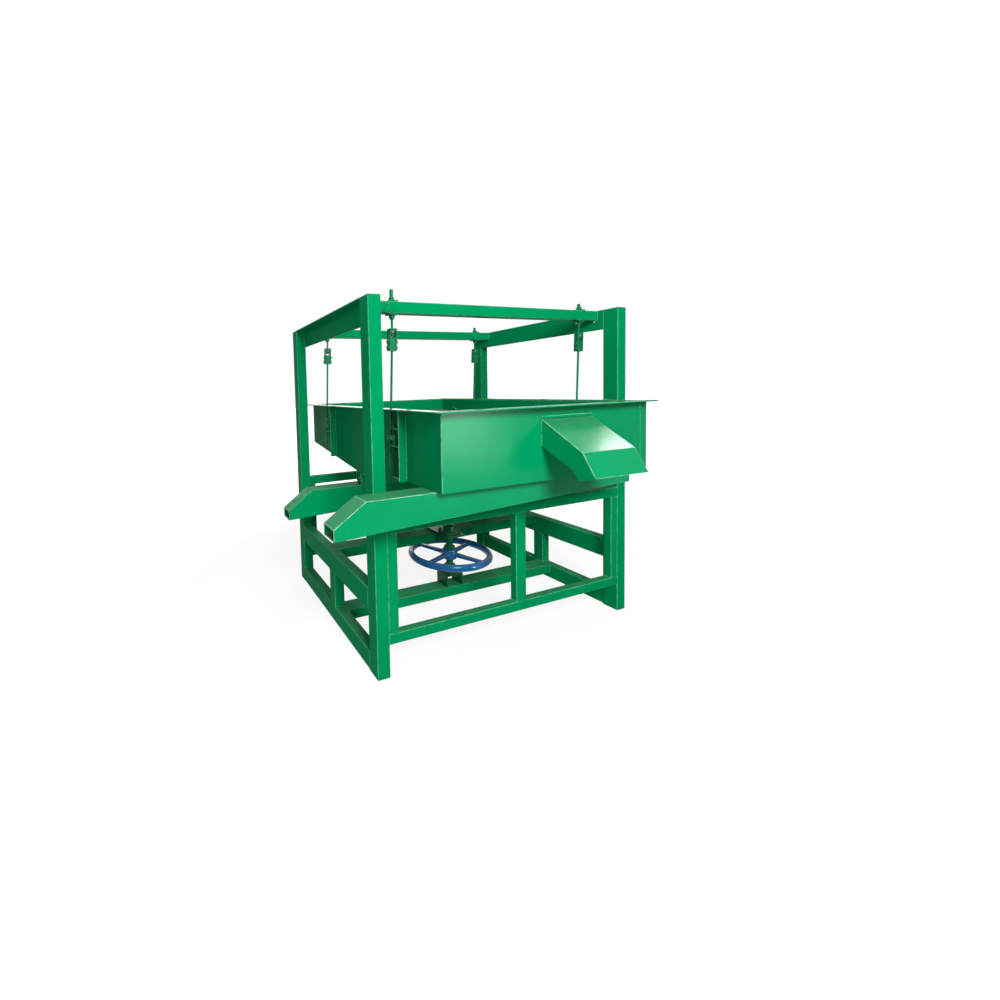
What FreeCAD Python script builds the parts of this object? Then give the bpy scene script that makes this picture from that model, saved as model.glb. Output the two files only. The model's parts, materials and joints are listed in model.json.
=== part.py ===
import FreeCAD, Part
import math
import os

# Suspended gyratory seed separator.
# The machine is laid out from one corner: x runs right from the frame's left face,
# y runs back from the frame's front face, and z runs up from the floor.
# At the end everything moves so that the origin lies under the middle of the whole machine.
# All sizes are in millimetres.

# Frame, outside sizes
FRAME_LENGTH = 1430.0
FRAME_DEPTH = 1095.0
FRAME_HEIGHT = 1550.0
COLUMN_WIDTH = 58.0
COLUMN_DEPTH = 80.0
TUBE_WALL = 4.0
TUBE_CORNER_RADIUS = 5.0

# Making allowances: how far a cut passes a face, and how near counts as touching
CUT_PAST = 1.0
TOUCH = 0.01

# Rails and posts of the frame's two sides
SIDE_RAIL_WIDTH = 53.0
BASE_RAIL_HEIGHT = 80.0
SIDE_MID_RAIL_HEIGHT = 100.0
SIDE_MID_RAIL_TOP = 355.0
SIDE_POST_DEPTH = 70.0
SIDE_POST_MIDDLE_Y = 515.0
HEADER_HEIGHT = 100.0
HEADER_THICKNESS = 6.0

# Rails and posts of the frame's front and rear
END_RAIL_DEPTH = 40.0
END_LOWER_RAIL_HEIGHT = 45.0
END_LOWER_RAIL_BOTTOM = 135.0
END_MID_RAIL_HEIGHT = 50.0
END_MID_RAIL_BOTTOM = 594.0
MIDDLE_POST_WIDTH = 58.0
MIDDLE_POST_MIDDLE_X = 745.0
INFILL_POST_WIDTH = 45.0

# Top rails that carry the hangers
TOP_RAIL_SIZE = 50.0
FRONT_TOP_RAIL_Y = 135.0
REAR_TOP_RAIL_INSET = 142.0

# Welded patch plates
PATCH_THICKNESS = 5.0
RAIL_PATCH_LENGTH = 90.0
HEADER_PATCH_LENGTH = 110.0
HEADER_PATCH_HEIGHT = 70.0
HEADER_HOLE_RADIUS = 7.0
HEADER_HOLE_Y = 130.0
HEADER_HOLE_DROP = 50.0

# Cross beams and bearing brackets
CHANNEL_WALL = 6.0
LOWER_BEAM_WIDTH = 95.0
LOWER_BEAM_HEIGHT = 50.0
UPPER_BEAM_WIDTH = 100.0
UPPER_BEAM_HEIGHT = 50.0
UPPER_BEAM_MIDDLE_Y = 585.0
LOWER_BRACKET_WIDTH = 104.0
LOWER_BRACKET_HEIGHT = 65.0
UPPER_BRACKET_WIDTH = 110.0
UPPER_BRACKET_THICKNESS = 12.0
UPPER_BRACKET_FRONT_REACH = 60.0
GUSSET_THICKNESS = 8.0

# Drive shaft and its bearings
SHAFT_X = 690.0
SHAFT_Y = 475.0
SHAFT_RADIUS = 19.0
SHAFT_END_GAP = 6.0
SHAFT_CHAMFER = 1.5
RUNNING_CLEARANCE = 0.05
BUSH_WALL = 6.0
BEARING_FLANGE_SIZE = 96.0
BEARING_FLANGE_THICKNESS = 14.0
BEARING_FLANGE_CORNER = 16.0
BEARING_BODY_RADIUS = 38.0
BEARING_BODY_HEIGHT = 44.0
BEARING_BODY_DRAFT = 5.0
BEARING_EDGE_RADIUS = 4.0
BEARING_BOLT_SPACING = 70.0

# Handwheel
WHEEL_DIAMETER = 456.0
WHEEL_HEIGHT = 250.0
WHEEL_RIM_WIDTH = 34.0
WHEEL_RIM_HEIGHT = 38.0
WHEEL_HUB_RADIUS = 39.0
WHEEL_HUB_HEIGHT = 56.0
WHEEL_SPOKE_COUNT = 4
WHEEL_SPOKE_TURN = 22.0
WHEEL_SPOKE_HUB_WIDTH = 34.0
WHEEL_SPOKE_RIM_WIDTH = 26.0
WHEEL_SPOKE_HUB_HEIGHT = 22.0
WHEEL_SPOKE_RIM_HEIGHT = 16.0
WHEEL_SPOKE_EMBED = 8.0
WHEEL_SPOKE_ROUNDING = 0.6
WHEEL_HUB_EDGE_RADIUS = 3.0
COLLAR_RADIUS = 30.0
COLLAR_HEIGHT = 14.0
SET_SCREW_RADIUS = 4.0
SET_SCREW_LENGTH = 14.0
SET_SCREW_INSET = 1.0

# Crank that swings the tray
ORBIT_RADIUS = 20.0
CRANK_DISC_RADIUS = 42.0
CRANK_DISC_HEIGHT = 26.0
CRANK_PIN_RADIUS = 15.0
CRANK_PIN_GAP = 4.0
CRANK_HOUSING_RADIUS = 34.0
CRANK_HOUSING_HEIGHT = 42.0
CRANK_DISC_GAP = 6.0
DRIVE_BEAM_WIDTH = 100.0
DRIVE_BEAM_HEIGHT = 50.0
DRIVE_PLATE_LENGTH = 180.0
DRIVE_PLATE_THICKNESS = 12.0

# Tray walls, rim and bottom
TRAY_LEFT = 180.0
TRAY_LENGTH = 1046.0
TRAY_FRONT_OVERHANG = 209.0
TRAY_DEPTH = 1495.0
TRAY_RIM_TOP = 1093.0
TRAY_SHEET = 3.0
RIM_WIDTH = 46.0
RIM_THICKNESS = 6.0
TRAY_FRONT_WALL_HEIGHT = 305.0
TRAY_REAR_WALL_HEIGHT = 258.0
TRAY_SEAT_DROP = 347.0
TRAY_STEP_Y = 60.0
CORNER_FLANGE_WIDTH = 41.0
CORNER_FLANGE_THICKNESS = 6.0

# Sieve deck
DECK_FRONT_DROP = 155.0
DECK_REAR_DROP = 81.0
DECK_THICKNESS = 3.0
DECK_EDGE_GAP = 1.0
DECK_LEDGE_WIDTH = 32.0
DECK_LEDGE_THICKNESS = 4.0
DECK_BAR_WIDTH = 30.0
DECK_BAR_HEIGHT = 28.0
DECK_BAR_COUNT = 4
DECK_CLAMP_COUNT = 4
DECK_CLAMP_LENGTH = 46.0
DECK_CLAMP_HEIGHT = 30.0
DECK_CLAMP_WIDTH = 22.0

# Discharge hood on the front wall
HOOD_LEFT = 652.0
HOOD_WIDTH = 272.0
HOOD_TOP_DROP = 53.0
HOOD_WALL_HEIGHT = 110.0
HOOD_FOLD_REACH = 184.0
HOOD_FOLD_DROP = 114.0
HOOD_NOSE_REACH = 52.0
HOOD_NOSE_DROP = 88.0
HOOD_LIP_SETBACK = 68.0
HOOD_LIP_DROP = 18.0
HOOD_FLOOR_SETBACK = 27.0
HOOD_FLOOR_RISE = 35.0
HOOD_OPENING_MARGIN = 8.0
HOOD_STRIP_HEIGHT = 12.0
HOOD_STRIP_THICKNESS = 5.0

# Discharge troughs
TROUGH_WIDTH = 100.0
TROUGH_SHEET = 3.0
TROUGH_FALL = 0.042
TROUGH_MOUTH_HEIGHT = 43.0
TROUGH_NOSE_LENGTH = 124.0
FRONT_TROUGH_OVERHANG = 413.0
FRONT_TROUGH_END_INSET = 11.0
FRONT_TROUGH_SETBACK = 39.0
FRONT_TROUGH_MOUTH_DROP = 127.0
REAR_TROUGH_OVERHANG = 386.0
REAR_TROUGH_END_INSET = 16.0
REAR_TROUGH_SETBACK = 18.0
REAR_TROUGH_MOUTH_DROP = 137.0
REAR_TROUGH_LINK_GAP = 69.0
OUTLET_INSET_X = 125.0
OUTLET_DEPTH = 56.0
CHUTE_SHEET = 3.0
CHUTE_CLEARANCE = 2.0
CHUTE_ENTRY = 12.0

# Links that hang the rear trough
LINK_END_INSET = 24.0
LINK_SPACING = 56.0
LINK_WIDTH = 34.0
LINK_BAR_RADIUS = 5.0
LINK_TAB_WIDTH = 34.0
LINK_TAB_THICKNESS = 8.0
LINK_TAB_HEIGHT = 26.0
LINK_HOLE_RADIUS = 6.5
LINK_SEAT_GAP = 0.3

# Hangers, upper end
PIVOT_DROP = 76.0
STUD_RADIUS = 8.0
STUD_NECK_RADIUS = 5.0
STUD_NECK_DROP = 26.0
STUD_HOLE_CLEARANCE = 0.4
TALL_STUD_RISE = 54.0
STUD_RISE = 36.0
STUD_NUT_FLATS = 24.0
STUD_NUT_HEIGHT = 13.0
PLATE_WASHER_SIZE = 42.0
PLATE_WASHER_THICKNESS = 6.0
BALL_RADIUS = 12.0
BALL_SEAT_GAP = 0.3
BALL_BOTTOM_DROP = 9.0
END_NUT_FLATS = 15.0
END_NUT_HEIGHT = 8.0
END_NUT_GAP = 0.3
STUD_END_LENGTH = 3.0

# Hangers, clevis and rod
ROD_RADIUS = 5.0
ROD_TAIL_LENGTH = 135.0
CLEVIS_HALF_GAP = 12.5
CLEVIS_STRAP_THICKNESS = 5.0
CLEVIS_DEPTH = 26.0
CLEVIS_TOP_RISE = 14.0
CLEVIS_SEAT_RISE = 3.0
CLEVIS_DROP = 82.0
CLEVIS_EDGE_RADIUS = 3.0
CLEVIS_HOLE_RADIUS = 6.8
ROD_EYE_DROP = 29.0
ROD_EYE_DEPTH = 22.0
ROD_EYE_SIDE_GAP = 0.3
CROSS_BOLT_DROPS = (42.0, 68.0)
CROSS_BOLT_RADIUS = 5.0
CROSS_BOLT_HEAD_FLATS = 16.0
CROSS_BOLT_HEAD_HEIGHT = 6.0
BOLT_HOLE_GAP = 0.2

# Hangers, lower end on the tray
CLAMP_DROP = 123.0
ROD_WALL_OFFSET = 23.0
CLAMP_THICKNESS = 22.0
CLAMP_ROD_CLEARANCE = 0.9
CLAMP_EYE_WALL = 7.0
CLAMP_NECK_SHARE = 0.7
CLAMP_FACE_GAP = 0.8
CLAMP_NUT_FLATS = 17.0
CLAMP_NUT_HEIGHT = 8.0
RIM_HOLE_RADIUS = 12.0
BRACKET_REACH = 36.0
STIFFENER_WIDTH = 45.0
STIFFENER_THICKNESS = 5.0
STIFFENER_OFFSET_Y = 92.0
SHELF_THICKNESS = 6.0
UPPER_SHELF_RISE = 36.0
LOWER_SHELF_DROP = 39.0
PIN_OFFSET_Y = 34.0
PIN_RADIUS = 6.0
PIN_OVERHANG = 16.0
PIN_NUT_FLATS = 18.0
PIN_NUT_HEIGHT = 9.0
SHELF_END_GAP = 16.0

# Places that follow from the sizes above
FRAME_INNER_LEFT = COLUMN_WIDTH
FRAME_INNER_RIGHT = FRAME_LENGTH - COLUMN_WIDTH
SIDE_RAIL_START_Y = COLUMN_DEPTH
SIDE_RAIL_END_Y = FRAME_DEPTH - COLUMN_DEPTH
TOP_RAIL_BOTTOM = FRAME_HEIGHT - TOP_RAIL_SIZE
REAR_TOP_RAIL_Y = FRAME_DEPTH - REAR_TOP_RAIL_INSET
PIVOT_HEIGHT = TOP_RAIL_BOTTOM - PIVOT_DROP
STUD_NECK_TOP = TOP_RAIL_BOTTOM - STUD_NECK_DROP
LOWER_BEAM_TOP = BASE_RAIL_HEIGHT
UPPER_BEAM_TOP = SIDE_MID_RAIL_TOP
LOWER_BEARING_BASE = LOWER_BEAM_TOP + LOWER_BRACKET_HEIGHT
UPPER_BEARING_BASE = UPPER_BEAM_TOP + UPPER_BRACKET_THICKNESS
TRAY_RIGHT = TRAY_LEFT + TRAY_LENGTH
TRAY_FRONT = -TRAY_FRONT_OVERHANG
TRAY_REAR = TRAY_FRONT + TRAY_DEPTH
TRAY_FRONT_BOTTOM = TRAY_RIM_TOP - TRAY_FRONT_WALL_HEIGHT
TRAY_SEAT_BOTTOM = TRAY_RIM_TOP - TRAY_SEAT_DROP
TRAY_REAR_BOTTOM = TRAY_RIM_TOP - TRAY_REAR_WALL_HEIGHT
DECK_FRONT_HEIGHT = TRAY_RIM_TOP - DECK_FRONT_DROP
DECK_REAR_HEIGHT = TRAY_RIM_TOP - DECK_REAR_DROP
DRIVE_BEAM_BOTTOM = TRAY_SEAT_BOTTOM - DRIVE_BEAM_HEIGHT
DRIVE_PLATE_BOTTOM = DRIVE_BEAM_BOTTOM - DRIVE_PLATE_THICKNESS
CRANK_HOUSING_BOTTOM = DRIVE_PLATE_BOTTOM - CRANK_HOUSING_HEIGHT
CRANK_DISC_TOP = CRANK_HOUSING_BOTTOM - CRANK_DISC_GAP
CRANK_DISC_BOTTOM = CRANK_DISC_TOP - CRANK_DISC_HEIGHT
TRAY_SEAT_START_Y = SHAFT_Y - DRIVE_BEAM_WIDTH / 2
TRAY_SEAT_END_Y = SHAFT_Y + DRIVE_BEAM_WIDTH / 2
BOTTOM_FOLDS_Y = (TRAY_STEP_Y, TRAY_SEAT_START_Y, TRAY_SEAT_END_Y)
TRAY_INNER_FRONT = TRAY_FRONT + TRAY_SHEET
TRAY_INNER_REAR = TRAY_REAR - TRAY_SHEET
CRANK_PIN_X = SHAFT_X - ORBIT_RADIUS
HOOD_TOP = TRAY_RIM_TOP - HOOD_TOP_DROP
HOOD_WALL_BOTTOM = HOOD_TOP - HOOD_WALL_HEIGHT
HOOD_FOLD_HEIGHT = HOOD_TOP - HOOD_FOLD_DROP
HOOD_MOUTH_REACH = HOOD_FOLD_REACH + HOOD_NOSE_REACH
HOOD_MOUTH_HEIGHT = HOOD_FOLD_HEIGHT - HOOD_NOSE_DROP
HOOD_LIP_REACH = HOOD_MOUTH_REACH - HOOD_LIP_SETBACK
HOOD_LIP_HEIGHT = HOOD_MOUTH_HEIGHT - HOOD_LIP_DROP
HOOD_FLOOR_REACH = HOOD_LIP_REACH - HOOD_FLOOR_SETBACK
HOOD_FLOOR_HEIGHT = HOOD_LIP_HEIGHT + HOOD_FLOOR_RISE
FRONT_TROUGH_MOUTH_X = TRAY_LEFT - FRONT_TROUGH_OVERHANG
FRONT_TROUGH_END_X = TRAY_RIGHT - FRONT_TROUGH_END_INSET
FRONT_TROUGH_FRONT_Y = TRAY_FRONT + FRONT_TROUGH_SETBACK
FRONT_TROUGH_MOUTH_BOTTOM = TRAY_FRONT_BOTTOM - FRONT_TROUGH_MOUTH_DROP
REAR_TROUGH_MOUTH_X = TRAY_LEFT - REAR_TROUGH_OVERHANG
REAR_TROUGH_END_X = TRAY_RIGHT - REAR_TROUGH_END_INSET
REAR_TROUGH_FRONT_Y = TRAY_SEAT_END_Y + REAR_TROUGH_SETBACK
REAR_TROUGH_TOP = TRAY_SEAT_BOTTOM - REAR_TROUGH_LINK_GAP
REAR_TROUGH_MOUTH_BOTTOM = REAR_TROUGH_TOP - REAR_TROUGH_MOUTH_DROP
CLAMP_HEIGHT = TRAY_RIM_TOP - CLAMP_DROP
UPPER_SHELF_HEIGHT = CLAMP_HEIGHT + UPPER_SHELF_RISE
LOWER_SHELF_HEIGHT = CLAMP_HEIGHT - LOWER_SHELF_DROP
ROD_LENGTH = math.hypot(PIVOT_HEIGHT - CLAMP_HEIGHT, ORBIT_RADIUS)
ROD_TILT = math.degrees(math.atan2(ORBIT_RADIUS, PIVOT_HEIGHT - CLAMP_HEIGHT))
FRONT_OUTLET_Y = FRONT_TROUGH_FRONT_Y + TROUGH_WIDTH / 2
REAR_OUTLET_Y = REAR_TROUGH_FRONT_Y + TROUGH_WIDTH / 2

# Each hanger's name, its side of the tray, and the y of the rail that carries it
HANGERS = (
    ("front_left", -1, FRONT_TOP_RAIL_Y),
    ("front_right", 1, FRONT_TOP_RAIL_Y),
    ("rear_left", -1, REAR_TOP_RAIL_Y),
    ("rear_right", 1, REAR_TOP_RAIL_Y),
)


def vector(x, y, z):
    return FreeCAD.Vector(x, y, z)


def block(low, high):
    """A box between two opposite corners."""
    size = [high[i] - low[i] for i in range(3)]
    return Part.makeBox(size[0], size[1], size[2], vector(*low))


def cylinder(radius, height, base, direction=(0, 0, 1)):
    return Part.makeCylinder(radius, height, vector(*base), vector(*direction))


def drill(radius, centre, bottom, top):
    """An upright cutting cylinder that passes both faces of what it cuts."""
    return cylinder(radius, top - bottom + 2 * CUT_PAST, (centre[0], centre[1], bottom - CUT_PAST))


def drill_across(radius, x0, x1, y, z):
    """A cutting cylinder along the x direction that passes both faces."""
    return cylinder(radius, x1 - x0 + 2 * CUT_PAST, (x0 - CUT_PAST, y, z), (1, 0, 0))


def extruded(points, thrust):
    """A solid made by pushing a closed outline along a direction."""
    wire = Part.makePolygon([vector(*p) for p in points] + [vector(*points[0])])
    return Part.Face(wire).extrude(vector(*thrust))


def edges_along(shape, axis):
    """The straight edges of a shape that run along one axis."""
    found = []
    for edge in shape.Edges:
        tangent = edge.tangentAt(edge.FirstParameter)
        if abs((tangent.x, tangent.y, tangent.z)[axis]) > 1 - TOUCH:
            found.append(edge)
    return found


def edges_above(shape, z):
    return [edge for edge in shape.Edges if edge.BoundBox.ZMin > z - TOUCH]


def edges_below(shape, z):
    return [edge for edge in shape.Edges if edge.BoundBox.ZMax < z + TOUCH]


def centred_square(size, thickness, centre, base_z, corner):
    """A square plate with rounded corners, lying flat."""
    half = size / 2
    plate = block((centre[0] - half, centre[1] - half, base_z),
                  (centre[0] + half, centre[1] + half, base_z + thickness))
    return plate.makeFillet(corner, edges_along(plate, 2))


def face_nearest(shape, point):
    """The face whose middle lies nearest to a point."""
    target = vector(*point)
    return min(shape.Faces, key=lambda f: (f.CenterOfMass - target).Length)


def hollow_bar(low, high, axis):
    """A rolled hollow section with rounded outer corners, open at both ends."""
    outer = block(low, high)
    outer = outer.makeFillet(TUBE_CORNER_RADIUS, edges_along(outer, axis))
    inner_low = [low[i] + TUBE_WALL for i in range(3)]
    inner_high = [high[i] - TUBE_WALL for i in range(3)]
    inner_low[axis] = low[axis] - CUT_PAST
    inner_high[axis] = high[axis] + CUT_PAST
    return outer.cut(block(inner_low, inner_high))


def channel_along_x(x0, x1, middle_y, width, top, height):
    """A channel laid with its web on top and its flanges down."""
    y0 = middle_y - width / 2
    y1 = middle_y + width / 2
    outer = block((x0, y0, top - height), (x1, y1, top))
    hollow = block((x0 - CUT_PAST, y0 + CHANNEL_WALL, top - height - CUT_PAST),
                   (x1 + CUT_PAST, y1 - CHANNEL_WALL, top - CHANNEL_WALL))
    return outer.cut(hollow)


def hexagon_prism(flats, height, base):
    radius = flats / math.sqrt(3)
    corners = []
    for i in range(6):
        angle = math.radians(60 * i)
        corners.append((base[0] + radius * math.cos(angle),
                        base[1] + radius * math.sin(angle), base[2]))
    return extruded(corners, (0, 0, height))


def hex_nut(flats, height, bore_radius, base):
    """A hexagon nut standing on its base point, its top corners chamfered."""
    prism = hexagon_prism(flats, height, base)
    corner = flats / math.sqrt(3)
    rise = corner - flats / 2
    lower = cylinder(corner, height - rise, base)
    upper = Part.makeCone(corner, flats / 2, rise, vector(base[0], base[1], base[2] + height - rise))
    nut = prism.common(lower.fuse(upper))
    return nut.cut(drill(bore_radius, base, base[2], base[2] + height))


def revolved(profile, centre):
    """A turned piece: the profile is a list of (radius, height) points."""
    points = [vector(centre[0] + r, centre[1], z) for r, z in profile]
    wire = Part.makePolygon(points + [points[0]])
    return Part.Face(wire).revolve(vector(centre[0], centre[1], 0), vector(0, 0, 1), 360)


def compound(shapes):
    return Part.makeCompound(shapes)


def mirrored_x(shape, middle_x):
    return shape.mirror(vector(middle_x, 0, 0), vector(1, 0, 0))


def tray_bottom_at(y):
    """Height of the underside of the tray's bottom at a given y."""
    if y <= TRAY_STEP_Y:
        return TRAY_FRONT_BOTTOM
    if y <= TRAY_SEAT_START_Y:
        share = (y - TRAY_STEP_Y) / (TRAY_SEAT_START_Y - TRAY_STEP_Y)
        return TRAY_FRONT_BOTTOM + share * (TRAY_SEAT_BOTTOM - TRAY_FRONT_BOTTOM)
    if y <= TRAY_SEAT_END_Y:
        return TRAY_SEAT_BOTTOM
    share = (y - TRAY_SEAT_END_Y) / (TRAY_REAR - TRAY_SEAT_END_Y)
    return TRAY_SEAT_BOTTOM + share * (TRAY_REAR_BOTTOM - TRAY_SEAT_BOTTOM)


def tray_wall_x(side):
    return TRAY_LEFT if side < 0 else TRAY_RIGHT


def rod_foot_x(side):
    """Where a hanger rod crosses its clamp, outside the tray's side wall."""
    return tray_wall_x(side) + side * ROD_WALL_OFFSET


def stud_x(side):
    """The stud stands one orbit radius to the right of the rod's foot."""
    return rod_foot_x(side) + ORBIT_RADIUS


# Frame

def column(left_x, front_y):
    """A corner column: a hollow section with its top closed and softened."""
    tube = hollow_bar((left_x, front_y, 0),
                      (left_x + COLUMN_WIDTH, front_y + COLUMN_DEPTH, FRAME_HEIGHT - TUBE_WALL), 2)
    cap = block((left_x, front_y, FRAME_HEIGHT - TUBE_WALL),
                (left_x + COLUMN_WIDTH, front_y + COLUMN_DEPTH, FRAME_HEIGHT))
    cap = cap.makeFillet(TUBE_CORNER_RADIUS, edges_along(cap, 2))
    whole = tube.fuse(cap).removeSplitter()
    return whole.makeFillet(TUBE_WALL / 2, edges_above(whole, FRAME_HEIGHT))


def side_rails(bottom, top):
    """The left and right rails of one level, between front and rear columns."""
    left = hollow_bar((0, SIDE_RAIL_START_Y, bottom), (SIDE_RAIL_WIDTH, SIDE_RAIL_END_Y, top), 1)
    right = hollow_bar((FRAME_LENGTH - SIDE_RAIL_WIDTH, SIDE_RAIL_START_Y, bottom),
                       (FRAME_LENGTH, SIDE_RAIL_END_Y, top), 1)
    return compound([left, right])


def side_posts():
    """Short posts between the base rails and the side middle rails."""
    y0 = SIDE_POST_MIDDLE_Y - SIDE_POST_DEPTH / 2
    y1 = SIDE_POST_MIDDLE_Y + SIDE_POST_DEPTH / 2
    top = SIDE_MID_RAIL_TOP - SIDE_MID_RAIL_HEIGHT
    posts = []
    for x0 in (0, FRAME_LENGTH - SIDE_RAIL_WIDTH):
        posts.append(hollow_bar((x0, y0, BASE_RAIL_HEIGHT), (x0 + SIDE_RAIL_WIDTH, y1, top), 2))
    return compound(posts)


def end_rail(front_y, bottom, height):
    return hollow_bar((FRAME_INNER_LEFT, front_y, bottom),
                      (FRAME_INNER_RIGHT, front_y + END_RAIL_DEPTH, bottom + height), 0)


def end_rails(bottom, height):
    """The front and rear rails of one level."""
    rear_y = FRAME_DEPTH - END_RAIL_DEPTH
    return compound([end_rail(0, bottom, height), end_rail(rear_y, bottom, height)])


def end_post(left_x, width, front_y):
    """An upright between the lower and the middle rail of the front or the rear."""
    bottom = END_LOWER_RAIL_BOTTOM + END_LOWER_RAIL_HEIGHT
    return hollow_bar((left_x, front_y, bottom),
                      (left_x + width, front_y + END_RAIL_DEPTH, END_MID_RAIL_BOTTOM), 2)


def middle_posts():
    left_x = MIDDLE_POST_MIDDLE_X - MIDDLE_POST_WIDTH / 2
    rear_y = FRAME_DEPTH - END_RAIL_DEPTH
    return [end_post(left_x, MIDDLE_POST_WIDTH, y) for y in (0, rear_y)]


def infill_posts():
    """Uprights that stand against the columns."""
    posts = []
    for front_y in (0, FRAME_DEPTH - END_RAIL_DEPTH):
        for left_x in (FRAME_INNER_LEFT, FRAME_INNER_RIGHT - INFILL_POST_WIDTH):
            posts.append(end_post(left_x, INFILL_POST_WIDTH, front_y))
    return posts


def left_header():
    """An angle between the column tops: upright web inside, top flange outwards."""
    y0 = SIDE_RAIL_START_Y
    y1 = SIDE_RAIL_END_Y
    web = block((COLUMN_WIDTH - HEADER_THICKNESS, y0, FRAME_HEIGHT - HEADER_HEIGHT),
                (COLUMN_WIDTH, y1, FRAME_HEIGHT))
    flange = block((0, y0, FRAME_HEIGHT - HEADER_THICKNESS), (COLUMN_WIDTH, y1, FRAME_HEIGHT))
    return web.fuse(flange).removeSplitter()


def right_header():
    angle = mirrored_x(left_header(), FRAME_LENGTH / 2)
    return angle.cut(drill_across(HEADER_HOLE_RADIUS, FRAME_INNER_RIGHT, FRAME_LENGTH,
                                  HEADER_HOLE_Y, FRAME_HEIGHT - HEADER_HOLE_DROP))


def top_rail(middle_y):
    """A square rail under the hangers, drilled through for two studs."""
    half = TOP_RAIL_SIZE / 2
    rail = hollow_bar((FRAME_INNER_LEFT, middle_y - half, TOP_RAIL_BOTTOM),
                      (FRAME_INNER_RIGHT, middle_y + half, FRAME_HEIGHT), 0)
    for side in (-1, 1):
        rail = rail.cut(drill(STUD_RADIUS + STUD_HOLE_CLEARANCE, (stud_x(side), middle_y),
                              TOP_RAIL_BOTTOM, FRAME_HEIGHT))
    return rail


def patch_plates():
    """Welded plates that stiffen the front rail at the left stud and the left header."""
    rail_y = FRONT_TOP_RAIL_Y - TOP_RAIL_SIZE / 2
    x0 = FRAME_INNER_LEFT
    on_rail = block((x0, rail_y - PATCH_THICKNESS, TOP_RAIL_BOTTOM + TUBE_CORNER_RADIUS),
                    (x0 + RAIL_PATCH_LENGTH, rail_y, FRAME_HEIGHT - TUBE_CORNER_RADIUS))
    web_face = COLUMN_WIDTH - HEADER_THICKNESS
    top = FRAME_HEIGHT - HEADER_THICKNESS
    on_header = block((web_face - PATCH_THICKNESS, SIDE_RAIL_START_Y, top - HEADER_PATCH_HEIGHT),
                      (web_face, SIDE_RAIL_START_Y + HEADER_PATCH_LENGTH, top))
    return compound([on_rail, on_header])


# Cross beams, brackets and bearings

def lower_cross_beam():
    return channel_along_x(SIDE_RAIL_WIDTH, FRAME_LENGTH - SIDE_RAIL_WIDTH, SHAFT_Y,
                           LOWER_BEAM_WIDTH, LOWER_BEAM_TOP, LOWER_BEAM_HEIGHT)


def upper_cross_beam():
    return channel_along_x(SIDE_RAIL_WIDTH, FRAME_LENGTH - SIDE_RAIL_WIDTH, UPPER_BEAM_MIDDLE_Y,
                           UPPER_BEAM_WIDTH, UPPER_BEAM_TOP, UPPER_BEAM_HEIGHT)


def lower_bearing_bracket():
    """A short channel across the lower beam, flanges down, open towards the front."""
    half = LOWER_BRACKET_WIDTH / 2
    y0 = SHAFT_Y - LOWER_BEAM_WIDTH / 2
    y1 = SHAFT_Y + LOWER_BEAM_WIDTH / 2
    outer = block((SHAFT_X - half, y0, LOWER_BEAM_TOP), (SHAFT_X + half, y1, LOWER_BEARING_BASE))
    hollow = block((SHAFT_X - half + CHANNEL_WALL, y0 - CUT_PAST, LOWER_BEAM_TOP - CUT_PAST),
                   (SHAFT_X + half - CHANNEL_WALL, y1 + CUT_PAST, LOWER_BEARING_BASE - CHANNEL_WALL))
    return outer.cut(hollow)


def upper_bearing_bracket():
    """A plate on the upper beam that reaches forward, with a gusset under each edge."""
    half = UPPER_BRACKET_WIDTH / 2
    front = SHAFT_Y - UPPER_BRACKET_FRONT_REACH
    rear = UPPER_BEAM_MIDDLE_Y + UPPER_BEAM_WIDTH / 2
    beam_front = UPPER_BEAM_MIDDLE_Y - UPPER_BEAM_WIDTH / 2
    plate = block((SHAFT_X - half, front, UPPER_BEAM_TOP), (SHAFT_X + half, rear, UPPER_BEARING_BASE))
    bore = SHAFT_RADIUS + BUSH_WALL + RUNNING_CLEARANCE
    plate = plate.cut(drill(bore, (SHAFT_X, SHAFT_Y), UPPER_BEAM_TOP, UPPER_BEARING_BASE))
    parts = [plate]
    for x0 in (SHAFT_X - half, SHAFT_X + half - GUSSET_THICKNESS):
        outline = [(x0, beam_front, UPPER_BEAM_TOP), (x0, front + GUSSET_THICKNESS, UPPER_BEAM_TOP),
                   (x0, beam_front, UPPER_BEAM_TOP - UPPER_BEAM_HEIGHT)]
        parts.append(extruded(outline, (GUSSET_THICKNESS, 0, 0)))
    return parts[0].fuse(parts[1:]).removeSplitter()


def bolt_places():
    """Offsets of the four bolts of a square flange from its middle."""
    half = BEARING_BOLT_SPACING / 2
    return [(dx, dy) for dx in (-half, half) for dy in (-half, half)]


def flange_bearing(base_z):
    """A cast flange bearing with a drafted round body and a bronze-lined bore."""
    bore = SHAFT_RADIUS + RUNNING_CLEARANCE
    centre = (SHAFT_X, SHAFT_Y)
    flange = centred_square(BEARING_FLANGE_SIZE, BEARING_FLANGE_THICKNESS, centre, base_z,
                            BEARING_FLANGE_CORNER)
    top = base_z + BEARING_BODY_HEIGHT
    edge = BEARING_EDGE_RADIUS
    crown = BEARING_BODY_RADIUS - BEARING_BODY_DRAFT
    body = revolved([(0, base_z), (BEARING_BODY_RADIUS, base_z), (crown, top - edge),
                     (crown - edge, top), (0, top)], centre)
    whole = flange.fuse(body).removeSplitter()
    whole = whole.cut(drill(bore, centre, base_z, top))
    for dx, dy in bolt_places():
        whole = whole.cut(drill(CROSS_BOLT_RADIUS + BOLT_HOLE_GAP, (SHAFT_X + dx, SHAFT_Y + dy),
                                base_z, base_z + BEARING_FLANGE_THICKNESS))
    return whole


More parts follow.
